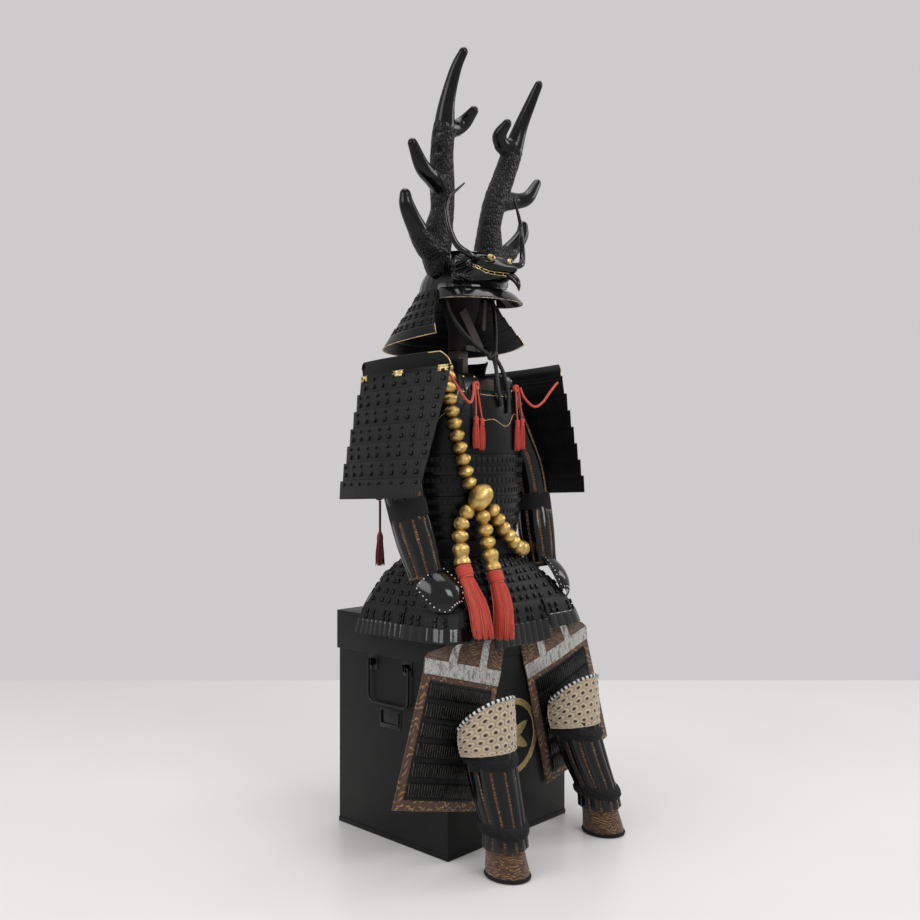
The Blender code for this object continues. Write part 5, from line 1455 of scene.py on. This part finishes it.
def visor_surface(across, down):
    angle = between(-VISOR_SPREAD, VISOR_SPREAD, across)
    reach = 0.006 + VISOR_REACH * max(0.0, math.cos(angle / VISOR_SPREAD * math.pi / 2)) ** 0.7
    place = bowl_point(angle, VISOR_Z, VISOR_RADIUS, reach * down + VISOR_OUT)
    place.z += 0.006 * math.sin(math.pi * down) - 0.032 * max(0.0, down) ** 1.5 + 0.012 * (1 - math.cos(angle)) * down
    return place


peak = plate(visor_surface, 60, 14, 0.0025, 1, 0.0008, Vector((0, HELMET_Y, 1.20)))
piece(peak, "peak", "gloss", "visor")
piece(as_mesh(lines([[visor_surface(s, 1.0) for s in shares(70)]], 0.0013)), "peak_rim", "silver")

NECK_SPREAD, NECK_LAMES = (math.radians(100), math.radians(119)), 5
NECK_TOP_Z, NECK_FOOT_Z, NECK_STEP = 1.3720, 1.2260, 0.0035
NECK_RADIUS = (0.1050 + 0.0010 - NECK_STEP, 0.1900)


def neck_point(share, down, out=0.0):
    """Share runs from the wearer's right front end round the back to the left one."""
    spread = between(NECK_SPREAD[0], NECK_SPREAD[1], down)
    angle = between(-spread, spread, share)
    radius = between(NECK_RADIUS[0], NECK_RADIUS[1], max(0.0, down) ** 1.15) + out
    centre_y, long = between(HELMET_Y, -0.010, down), between(1.10, 1.0, down)
    lift = 0.024 * (abs(2 * share - 1) ** 3) * down
    return Vector((-radius * math.sin(angle), centre_y + radius * long * math.cos(angle),
                   between(NECK_TOP_Z, NECK_FOOT_Z, down) + lift))


def neck_lame(i):
    start, end = lame_spans(NECK_LAMES, 0.008)[i]
    return lambda a, d: neck_point(a, max(0.0, between(start, end, d)), NECK_STEP * (1 - d))


neck_plates, neck_knots = [], []
for i in range(NECK_LAMES):
    surface = neck_lame(i)
    core = Vector((0, -0.02, 1.20))
    neck_plates.append(plate(surface, 64, 4, 0.0028, 1, 0.0008, core))
    if i < NECK_LAMES - 1:
        columns = 20 + 2 * i
        for k in range(columns):
            neck_knots += [seat(surface, (k + 0.5) / columns, d, 0.0027, core) for d in (0.45, 0.78)]
piece(joined(neck_plates), "neck_guard_plates", "satin", "neck_guard")
piece(copies(knot(0.0085, 0.0080, 0.0032), neck_knots), "neck_knots", "satin")
last = neck_lame(NECK_LAMES - 1)
edge = [last(0.0, d) for d in shares(6)] + [last(s, 1.0) for s in shares(80)]
edge += [last(1.0, 1 - d) for d in shares(6)]
rim = [place + Vector((place.x, place.y + 0.02, 0)).normalized() * 0.0030 for place in edge]
piece(as_mesh(lines([rim], 0.0011)), "neck_rim", "trim_gold")

# %% [markdown]
# ## Antlers
# Each antler is a tree of tapered branches. The branches are separate tubes, melted together by a voxel remesh and
# smoothed, then roughened with noise except near the polished tips, which are saved as an attribute.

# %% Antlers
BEAM = (
    (0.0780, -0.024, 1.4180, 0.0300), (0.0960, -0.031, 1.4650, 0.0380), (0.0960, -0.038, 1.5150, 0.0370),
    (0.0910, -0.048, 1.5700, 0.0300), (0.1010, -0.058, 1.6300, 0.0310), (0.1190, -0.074, 1.6980, 0.0290),
    (0.1310, -0.094, 1.7650, 0.0270), (0.1395, -0.114, 1.8250, 0.0200), (0.1455, -0.148, 1.8900, 0.0150),
    (0.1440, -0.172, 1.9240, 0.0120),
)
TINES = (
    (1, ((0.1400, -0.038, 1.4820, 0.0300), (0.1880, -0.047, 1.5230, 0.0240), (0.2180, -0.052, 1.5600, 0.0200),
         (0.2240, -0.052, 1.5870, 0.0150))),
    (4, ((0.1500, -0.073, 1.6370, 0.0235), (0.2000, -0.086, 1.6530, 0.0200), (0.2370, -0.091, 1.7000, 0.0130))),
    (6, ((0.0920, -0.0930, 1.7700, 0.0215), (0.0680, -0.1020, 1.7880, 0.0195), (0.0640, -0.1320, 1.8120, 0.0130))),
)
POLISHED = (0.185, 0.105, 0.095, 0.075)


def branch(points, side, steps=40):
    """A tube along four-number points, whose last number is the radius."""
    places = [p[:3] for p in points]
    radii = [(i, p[3]) for i, p in enumerate(points)]
    route = []
    for share in shares(steps):
        x, y, z = spot_on(places, share)
        radius, = curve_at(radii, share * (len(points) - 1))
        route.append((side * x, y, z, radius))
    return as_mesh(lines([route], 1.0, rounds=6))


def round_end(point, side):
    bpy.ops.object.select_all(action="DESELECT")
    bpy.ops.mesh.primitive_uv_sphere_add(segments=16, ring_count=12, radius=point[3],
                                         location=(side * point[0], point[1], point[2]))
    return bpy.context.object


for hand, side in SIDES:
    parts = [branch(BEAM, side), round_end(BEAM[-1], side)]
    for start, tine in TINES:
        parts += [branch((BEAM[start], *tine), side), round_end(tine[-1], side)]
    antler = joined(parts)
    melt = antler.modifiers.new("melt", "REMESH")
    melt.mode, melt.voxel_size = "VOXEL", 0.0034
    calm = antler.modifiers.new("calm", "SMOOTH")
    calm.iterations, calm.factor = 5, 0.6
    finish_modifiers(antler, 80)
    tips = [Vector((side * p[0], p[1], p[2])) for p in (BEAM[-1], *[tine[-1] for _, tine in TINES])]
    polish = antler.data.attributes.new("tip", "FLOAT", "POINT")
    for i, vertex in enumerate(antler.data.vertices):
        wave = 0.006 * math.sin(vertex.co.z * 160 + vertex.co.x * 90)
        inside = max(1 - (vertex.co - tip).length / (reach + wave) for tip, reach in zip(tips, POLISHED))
        tip_share = min(1.0, max(0.0, inside * 14))
        polish.data[i].value = tip_share
        bark = noise.noise(vertex.co * 60) + 0.7 * noise.noise(vertex.co * 150)
        vertex.co += vertex.normal * ((0.0010 * bark + 0.0009) * (1 - tip_share) - 0.0006 * tip_share)
    piece(antler, f"antler_{hand}_skin", "antler", f"antler_{hand}")

# %% [markdown]
# ## The beast mask
# A carved dragon-like beast looks out over the brow. It is one sheet in polar form: the distance from the bowl's
# axis is a sum of smooth swells for head, snout, jaw, brows, cheeks and locks. Eyes, teeth, lips and horns are added.

# %% Beast mask
CREST_FOOT_Z, CREST_TOP_Z = 1.3860, 1.4640


def swell(value, middle, width):
    return math.exp(-(((value - middle) / width) ** 2))


def mouth_z(degrees):
    """The mouth turns up towards the cheeks."""
    return 1.400 + 0.026 * (abs(degrees) / 34) ** 1.2


def mask_reach(degrees, z):
    """The mask's distance from the bowl's axis, in plan."""
    a = abs(degrees)
    head = 0.034 * swell(a, 0, 22) * swell(z, 1.425, 0.030)
    snout = 0.043 * swell(a, 0, 8.5) * swell(z, 1.411, 0.017)
    jaw = 0.020 * swell(a, 0, 14) * swell(z, 1.392, 0.010)
    brow = 0.012 * swell(a, 16, 9) * swell(z, 1.4535, 0.006)
    cheek = 0.008 * swell(a, 30, 8) * swell(z, 1.418, 0.012)
    sockets = -0.009 * swell(a, 13.5, 4.5) * swell(z, 1.4440, 0.0075)
    mouth = -0.012 * swell(z, mouth_z(a), 0.0038) * swell(a, 0, 34)
    nostrils = -0.005 * swell(a, 3.0, 1.4) * swell(z, 1.412, 0.0035)
    bridge = 0.004 * swell(a, 0, 2.5) * swell(z, 1.436, 0.012)
    locks = 0.0035 * math.sin(0.45 * a + 6 * math.sin((z - 1.42) * 90)) * min(1.0, max(0.0, (a - 30) / 8))
    slope = 0.030 * max(0.0, (z - 1.440) / 0.024) ** 2
    return 0.121 + head + snout + jaw + brow + cheek + sockets + mouth + nostrils + bridge + locks - slope


def mask_surface(across, down):
    degrees = between(-60, 60, across)
    z = between(CREST_TOP_Z, CREST_FOOT_Z, down)
    reach = mask_reach(degrees, z)
    closing = min(1.0, 16 * min(across, 1 - across, down * 2, (1 - down) * 2) + 0.0)
    reach = between(0.104, reach, max(0.0, closing) ** 0.4)
    angle = math.radians(degrees)
    return Vector((reach * math.sin(angle), HELMET_Y - reach * math.cos(angle), z))


mask = plate(mask_surface, 170, 70, 0.002, -1, 0, Vector((0, HELMET_Y, 1.42)))
piece(mask, "beast_mask", "gloss", "front_crest")
TOOTH = ((0.0, -0.1850, 1.4080, 0.0100), (0.0, -0.2120, 1.3900, 0.0090), (0.0, -0.2230, 1.3740, 0.0065),
         (0.0, -0.2250, 1.3580, 0.0012))
HORN = (
    (0.0550, -0.1350, 1.4420, 0.0080), (0.1000, -0.1450, 1.4480, 0.0085), (0.1280, -0.1300, 1.4720, 0.0078),
    (0.1420, -0.1160, 1.5300, 0.0062), (0.1360, -0.1130, 1.5800, 0.0048), (0.0940, -0.1280, 1.6260, 0.0020),
)
horns = [branch(TOOTH, 1, 20), branch(HORN, -1), branch(HORN, 1)]
piece(joined(horns), "mask_horns", "gloss")


def mask_spot(degrees, z, out):
    """A point just proud of the mask."""
    reach, angle = mask_reach(degrees, z) + out, math.radians(degrees)
    return Vector((reach * math.sin(angle), HELMET_Y - reach * math.cos(angle), z))


def eyes(half_sizes, forward):
    made = []
    for side in (-1, 1):
        bpy.ops.object.select_all(action="DESELECT")
        bpy.ops.mesh.primitive_uv_sphere_add(segments=24, ring_count=16, radius=1)
        turn = Matrix.Rotation(side * math.radians(14), 4, "Z") @ Matrix.Rotation(-side * math.radians(12), 4, "Y")
        place = Matrix.Translation(Vector((side * EYE.x, EYE.y - forward, EYE.z)))
        made.append(copies(bpy.context.object, [place @ turn @ Matrix.Diagonal((*half_sizes, 1))]))
    return made


EYE, TEETH, LIP = Vector((0.0350, -0.1650, 1.4450)), 13, 0.003
golden = eyes((0.0125, 0.0060, 0.0078), 0.0)
teeth = []
for k in range(TEETH):
    degrees = between(-30, 30, k / (TEETH - 1))
    teeth.append(Matrix.Translation(mask_spot(degrees, mouth_z(degrees), 0.003)) @ Matrix.Rotation(math.pi, 4, "X"))
bpy.ops.object.select_all(action="DESELECT")
bpy.ops.mesh.primitive_cone_add(vertices=10, radius1=0.0026, radius2=0.0005, depth=0.007)
golden.append(copies(bpy.context.object, teeth))
lips = [[mask_spot(between(-33, 33, s), mouth_z(between(-33, 33, s)) + step, 0.0008) for s in shares(60)]
        for step in (-LIP, LIP)]
golden.append(as_mesh(lines(lips, 0.0011, rounds=2)))
piece(joined(golden), "mask_eyes_teeth", "trim_gold")
piece(joined(eyes((0.0042, 0.0040, 0.0042), 0.0036)), "mask_pupils", "gloss")

# %% [markdown]
# ## The bead string
# Big gilded beads on a cord, worn like a sash from the right shoulder to the left hip. One oblate bead is modelled
# from a sphere and copied along the route, turned to its direction. Two pendants hang from the egg-shaped bead.

# %% Beads
BEAD_RADIUS, BEAD_PITCH, BEAD_REST, HIP_REST = 0.0198, 0.0300, 0.0257, 0.0308
BIG_BEAD = Vector((-0.0910, -0.1790, 0.8480))
BIG_TILT = Vector((0.58, -0.25, 0.78)).normalized()
FRONT_STRAND = ((-33.3, 0.882, BEAD_REST), (-38.1, 0.941, BEAD_REST), (-42.9, 0.997, BEAD_REST),
                (-46.7, 1.052, BEAD_REST), (-50.3, 1.109, BEAD_REST))
BACK_STRAND = ((-132, 1.100, BEAD_REST), (-150, 1.020, BEAD_REST), (-170, 0.940, BEAD_REST), (170, 0.870, BEAD_REST),
               (146, 0.800, BEAD_REST), (118, 0.745, HIP_REST), (90, 0.713, HIP_REST), (60, 0.706, HIP_REST),
               (30.4, 0.710, HIP_REST), (17, 0.722, HIP_REST), (8.1, 0.740, HIP_REST), (0.8, 0.759, HIP_REST),
               (-5.2, 0.776, HIP_REST), (-14.5, 0.816, HIP_REST))
SHOULDER_STRAND = ((-0.138, -0.112, 1.150), (-0.120, -0.075, 1.1805), (-0.114, -0.010, 1.1825),
                   (-0.118, 0.040, 1.1800), (-0.132, 0.068, 1.148))


def turned_to(place, direction, scale=(1, 1, 1)):
    """A place whose Z axis points along a direction."""
    turn = direction.to_track_quat("Z", "Y").to_matrix().to_4x4()
    return Matrix.Translation(place) @ turn @ Matrix.Diagonal((*scale, 1))


def ball(segments=18, rings=12):
    """A turned bead of radius 1, a little uneven in its girth."""
    bpy.ops.object.select_all(action="DESELECT")
    bpy.ops.mesh.primitive_uv_sphere_add(segments=segments, ring_count=rings, radius=1)
    made = bpy.context.object
    for vertex in made.data.vertices:
        round_off = 1 + 0.04 * math.sin(5 * vertex.co.z + 3 * vertex.co.x)
        vertex.co.x *= round_off
        vertex.co.y *= round_off
    return made


front, back = [[torso_point(math.radians(angle), z, out) for angle, z, out in part]
               for part in (FRONT_STRAND, BACK_STRAND)]
string = evenly([BIG_BEAD, *front, *[Vector(p) for p in SHOULDER_STRAND], *back, BIG_BEAD], BEAD_PITCH / 3)
bead_seats = []
random.seed(7)
for i in range(0, len(string) - 3, 3):
    place, direction = string[i + 1].lerp(string[i + 2], 0.5), string[i + 2] - string[i + 1]
    if (place - BIG_BEAD).length < 0.034:
        continue
    size = random.uniform(0.97, 1.0)
    bead_seats.append(turned_to(place, direction, (BEAD_RADIUS * size, BEAD_RADIUS * size, 0.0150)))
beads = copies(ball(), bead_seats)
egg = copies(ball(24, 16), [turned_to(BIG_BEAD, BIG_TILT, (0.0280, 0.0280, 0.0370))])
piece(joined([beads, egg]), "gold_beads", "bead_gold", "bead_strand")
piece(as_mesh(lines([string], 0.0035)), "bead_cord", "black_silk")
print(len(bead_seats), "beads")

# %% Pendants
PENDANT_PROFILE = (
    (0.002, 0.0070), (0.006, 0.0140), (0.012, 0.0180), (0.019, 0.0192), (0.026, 0.0180), (0.032, 0.0130),
    (0.036, 0.0075), (0.040, 0.0140), (0.045, 0.0188), (0.051, 0.0202), (0.058, 0.0188), (0.063, 0.0140), (0.067, 0.0075),
    (0.071, 0.0145), (0.076, 0.0195), (0.082, 0.0210), (0.089, 0.0195), (0.094, 0.0150), (0.098, 0.0090),
    (0.103, 0.0170), (0.110, 0.0212), (0.118, 0.0212), (0.126, 0.0185), (0.133, 0.0160), (0.139, 0.0195),
    (0.145, 0.0212), (0.151, 0.0205), (0.155, 0.0150),
)
PENDANTS = {
    "right": ((-0.1120, -0.1680, 0.8260), (-0.1270, -0.1640, 0.8080), (-0.1450, -0.1640, 0.7780),
              (-0.1510, -0.1680, 0.7475), (-0.1540, -0.1740, 0.7133), (-0.1580, -0.1830, 0.6807),
              (-0.1600, -0.1880, 0.6660)),
    "left": ((-0.0880, -0.1810, 0.8188), (-0.0850, -0.1820, 0.7968), (-0.0794, -0.1840, 0.7675),
             (-0.0750, -0.1870, 0.7370), (-0.0726, -0.1940, 0.7060), (-0.0700, -0.2020, 0.6719),
             (-0.0705, -0.2060, 0.6600)),
}


def along_route(points, distance):
    fine = [spot_on(points, share) for share in shares(20 * len(points))]
    walked = 0.0
    for a, b in zip(fine, fine[1:]):
        step = (b - a).length
        if walked + step >= distance:
            return a.lerp(b, (distance - walked) / step)
        walked += step
    return fine[-1] + (fine[-1] - fine[-2]).normalized() * (distance - walked)


pendant_ends = {}
for hand, route in PENDANTS.items():
    points = [along_route(route, down) for down, _ in PENDANT_PROFILE]
    shape = [(*point, radius) for point, (_, radius) in zip(points, PENDANT_PROFILE)]
    hanging = as_mesh(lines([shape], 1.0, rounds=7))
    piece(hanging, f"pendant_{hand}", "bead_gold", f"bead_pendant_{hand}")
    pendant_ends[hand] = (points[-1], (points[-1] - points[-2]).normalized())

# %% [markdown]
# ## Tassels
# A tassel is a wound collar and a skirt of floss. The collar is a tight helix of cord. The floss is a bundle of thin
# curves: each leaves its own spot on the collar's foot, and follows the tassel's line with a little wander.

# %% Tassels
def helix(start, axis, radius, length, pitch):
    across = axis.orthogonal().normalized()
    other = axis.cross(across)
    turns = length / pitch
    count = int(14 * turns)
    return [start + axis * (length * s) + (across * math.cos(2 * math.pi * turns * s)
            + other * math.sin(2 * math.pi * turns * s)) * radius for s in shares(count)]


def floss(route, root_radius, widen, count, thread, seed):
    """Thin threads along a route: each keeps its own place in the bundle."""
    random.seed(seed)
    threads = []
    length = length_of([Vector(p) for p in route])
    for k in range(count):
        share = math.sqrt((k + 0.5) / count)
        angle = k * 2.39996
        spread = Vector((math.cos(angle), math.sin(angle), 0)) * share
        wander = Vector((random.uniform(-1, 1), random.uniform(-1, 1), 0)) * 0.0022
        end = random.uniform(0.93, 1.0) if share < 0.8 else random.uniform(0.90, 1.0)
        line = []
        for s in shares(8):
            at = s * end
            place = spot_on(route, at)
            radius = root_radius * between(0.78, widen, at**0.7)
            line.append((*(place + spread * radius + wander * math.sin(3 * at)), 1.0 if s < 0.95 else 0.5))
        threads.append(line)
    print("floss of", count, "threads,", round(length, 3), "m long")
    return lines(threads, thread, rounds=0)


BIG_TASSELS = {
    "right": ((-0.1620, -0.2100, 0.6370), (-0.1700, -0.2440, 0.5930), (-0.1830, -0.2720, 0.5230)),
    "left": ((-0.0720, -0.2220, 0.6280), (-0.0900, -0.2500, 0.5860), (-0.1120, -0.2730, 0.5130)),
}
COLLAR_LONG = 0.0330
COLLAR_PROFILE = ((0.02, 0.012), (0.1, 0.0185), (0.7, 0.0185), (1.0, 0.016))

for hand, places in BIG_TASSELS.items():
    top, drop = pendant_ends[hand]
    collar_foot, bend, foot = [Vector(p) for p in places]
    axis = (collar_foot - top).normalized()
    core_route = [(*(top + axis * (COLLAR_LONG * s)), radius) for s, radius in COLLAR_PROFILE]
    wound = [as_mesh(lines([core_route], 1.0, rounds=4)),
             as_mesh(lines([helix(top + axis * 0.0025, axis, 0.0190, 0.0245, 0.0026)], 0.0014, rounds=2))]
    piece(joined(wound), f"tassel_collar_{hand}", "red_silk")
    route = [top + axis * 0.027, collar_foot, bend, foot]
    threads = as_mesh(floss(route, 0.0190, 1.35, 260, 0.0011, 3))
    piece(threads, f"tassel_{hand}", "red_silk", f"big_tassel_{hand}")

# %% [markdown]
# ## Cords
# Coral cords tie the shoulder guards to the straps, with two small tassels under each knot. A black cord ties the
# helmet under the chin, and a wine-red one crosses the back. Each is a curve, so that its length can be measured.

# %% Chest cords and their tassels
KNOT = Vector((0.0765, -0.1507, 1.1250))
KNOT_SIZE, CORD_RADIUS = 0.0095, 0.0034
CHEST_CORD = ((0.0889, -0.1540, 1.1275), (0.0985, -0.1620, 1.1000), (0.1220, -0.1740, 1.0790),
              (0.1500, -0.1790, 1.0900), (0.1790, -0.1810, 1.1180), (0.2010, -0.1830, 1.1390),
              (0.2104, -0.1835, 1.1460))
SMALL_STEMS = ((0.0740, -0.1530, 1.1150), (0.0834, -0.1550, 1.1155))
SMALL_HEADS = ((0.0680, -0.1630, 1.0430), (0.0880, -0.1620, 1.0470))


def free_cord(name, points, radius, finish, replaced, plaits=0.0040):
    """A braided cord: its radius swells at each plait. Its length is measured and printed."""
    route = evenly(points, plaits)
    shape = [(*place, 1.0 if i % 2 else 0.90) for i, place in enumerate(route)]
    made = lines([shape], radius, rounds=3)
    piece(made, name, finish, *replaced)
    length_of(route)
    print(name, round(length_of(route), 3), "m")
    return made


for hand, side in SIDES:
    free_cord(f"tie_cord_{hand}", mirrored(CHEST_CORD, side), CORD_RADIUS, "red_silk",
              [f"chest_cord_{hand}"])
    middle = Vector((side * KNOT.x, KNOT.y, KNOT.z))
    bows = []
    for turn in (0, 55, 110):
        ring = []
        for s in shares(25)[:-1]:
            a = 2 * math.pi * s
            spot = Vector((math.cos(a) * KNOT_SIZE * 0.75, 0.25 * KNOT_SIZE * math.sin(2 * a),
                           math.sin(a) * KNOT_SIZE * 0.6))
            ring.append(middle + Matrix.Rotation(math.radians(turn), 3, "Y") @ spot)
        bows.append(ring)
    stems = []
    for stem, head_place in zip(SMALL_STEMS, SMALL_HEADS):
        stems.append(mirrored([KNOT, stem, Vector(stem).lerp(Vector(head_place), 0.5), head_place], side))
    knot_mesh = as_mesh(lines(bows, 0.0030, True, 2))
    stem_mesh = as_mesh(lines([evenly(stem, 0.004) for stem in stems], 0.0022, rounds=2))
    bundle = [knot_mesh, stem_mesh]
    for number, head_place in enumerate(SMALL_HEADS):
        top = Vector((side * head_place[0], head_place[1], head_place[2]))
        crown_ring = [(*(top - Vector((0, 0, d))), r) for d, r in
                      ((0.000, 0.0030), (0.002, 0.0060), (0.010, 0.0064), (0.012, 0.0054), (0.017, 0.0064))]
        bundle.append(as_mesh(lines([crown_ring], 1.0, rounds=4)))
        fall = [top - Vector((0, 0, d)) for d in (0.014, 0.03, 0.055, 0.080)]
        bundle.append(as_mesh(floss(fall, 0.0066, 1.25, 60, 0.0008, 11 + number)))
    piece(joined(bundle), f"chest_tassels_{hand}", "red_silk", f"chest_tassel_{hand}_1", f"chest_tassel_{hand}_2")

# %% Chin cord
CHIN_KNOT, CHIN_RADIUS = Vector((0.012, -0.128, 1.205)), 0.0055
CHIN_RIGHT = ((-0.0912, -0.057, 1.371), (-0.080, -0.076, 1.300), (-0.045, -0.108, 1.240))
CHIN_TAILS = (((0.026, -0.150, 1.165), (0.034, -0.1600, 1.110), (0.030, -0.1640, 1.060)),
              ((0.000, -0.150, 1.170), (-0.006, -0.1620, 1.120), (0.002, -0.1655, 1.075)))
over = [*CHIN_RIGHT, CHIN_KNOT, *[(-x, y, z) for x, y, z in reversed(CHIN_RIGHT)]]
bow = [[CHIN_KNOT + Vector((0.013 * math.sin(t), -0.004 * math.cos(t), 0.007 * math.sin(2 * t + lean)))
        for t in [2 * math.pi * s for s in shares(25)[:-1]]] for lean in (0.0, 0.9)]
chin_knot = as_mesh(lines(bow, CHIN_RADIUS, True, 3))
piece(chin_knot, "chin_knot", "black_silk")
free_cord("chin_tie", over, CHIN_RADIUS, "black_silk", ["chin_cord"], 0.006)
for number, tail in enumerate(CHIN_TAILS):
    free_cord(f"chin_tail_{number + 1}", [CHIN_KNOT + Vector((0.004 * (1 - 2 * number), -0.006, -0.004)), *tail],
              CHIN_RADIUS, "black_silk", [], 0.006)

# %% Back cord and its tassels
BACK_KNOT = (0.0, 0.1130, 1.0200)
BACK_CORD = ((-0.2357, 0.1215, 1.0020), (-0.2050, 0.1240, 0.9250), (-0.1720, 0.1220, 0.8520),
             (-0.1530, 0.1180, 0.8380), (-0.1300, 0.1240, 0.8560), (-0.0860, 0.1430, 0.9250),
             (-0.0550, 0.1462, 0.9700), (-0.0220, 0.1290, 1.0060))
right_half = [*[Vector(p) for p in BACK_CORD], Vector(BACK_KNOT)]
free_cord("back_tie", [*right_half, *mirrored(right_half[-2::-1], -1)], 0.0035, "wine_silk", ["back_cord"])
turns = []
for lean in (0.0, 0.8, 1.6):
    turns.append([Vector(BACK_KNOT) + Vector((0.010 * math.sin(t), 0.005 * math.cos(t), 0.008 * math.sin(t + lean)))
                  for t in [2 * math.pi * s for s in shares(21)[:-1]]])
piece(as_mesh(lines(turns, 0.0035, True, 2)), "back_knot", "wine_silk")
for hand, side in SIDES:
    x, y = -side * BACK_CORD[3][0], BACK_CORD[3][1]
    stem = [(x, y, z, r) for z, r in ((0.8344, 0.0032), (0.7540, 0.0032), (0.7430, 0.0078), (0.7320, 0.0088))]
    bundle = [as_mesh(lines([stem], 1.0, rounds=3)),
              as_mesh(floss([Vector((x, y, z)) for z in (0.736, 0.71, 0.69, 0.664)], 0.0086, 1.5, 90, 0.0009, 21))]
    piece(joined(bundle), f"back_tassel_{hand}_floss", "wine_silk", f"back_tassel_{hand}")

# %% [markdown]
# ## Measuring
# The sizes of both boxes, the frame's and the dressed suit's, are printed. The dressed suit has to keep the size of
# the frame.

# %% Sizes
VISUAL_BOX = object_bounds()
for label, box in (("frame", CAD_BOX), ("dressed", VISUAL_BOX)):
    print(label, [round(high - low, 3) for low, high in zip(*box)])
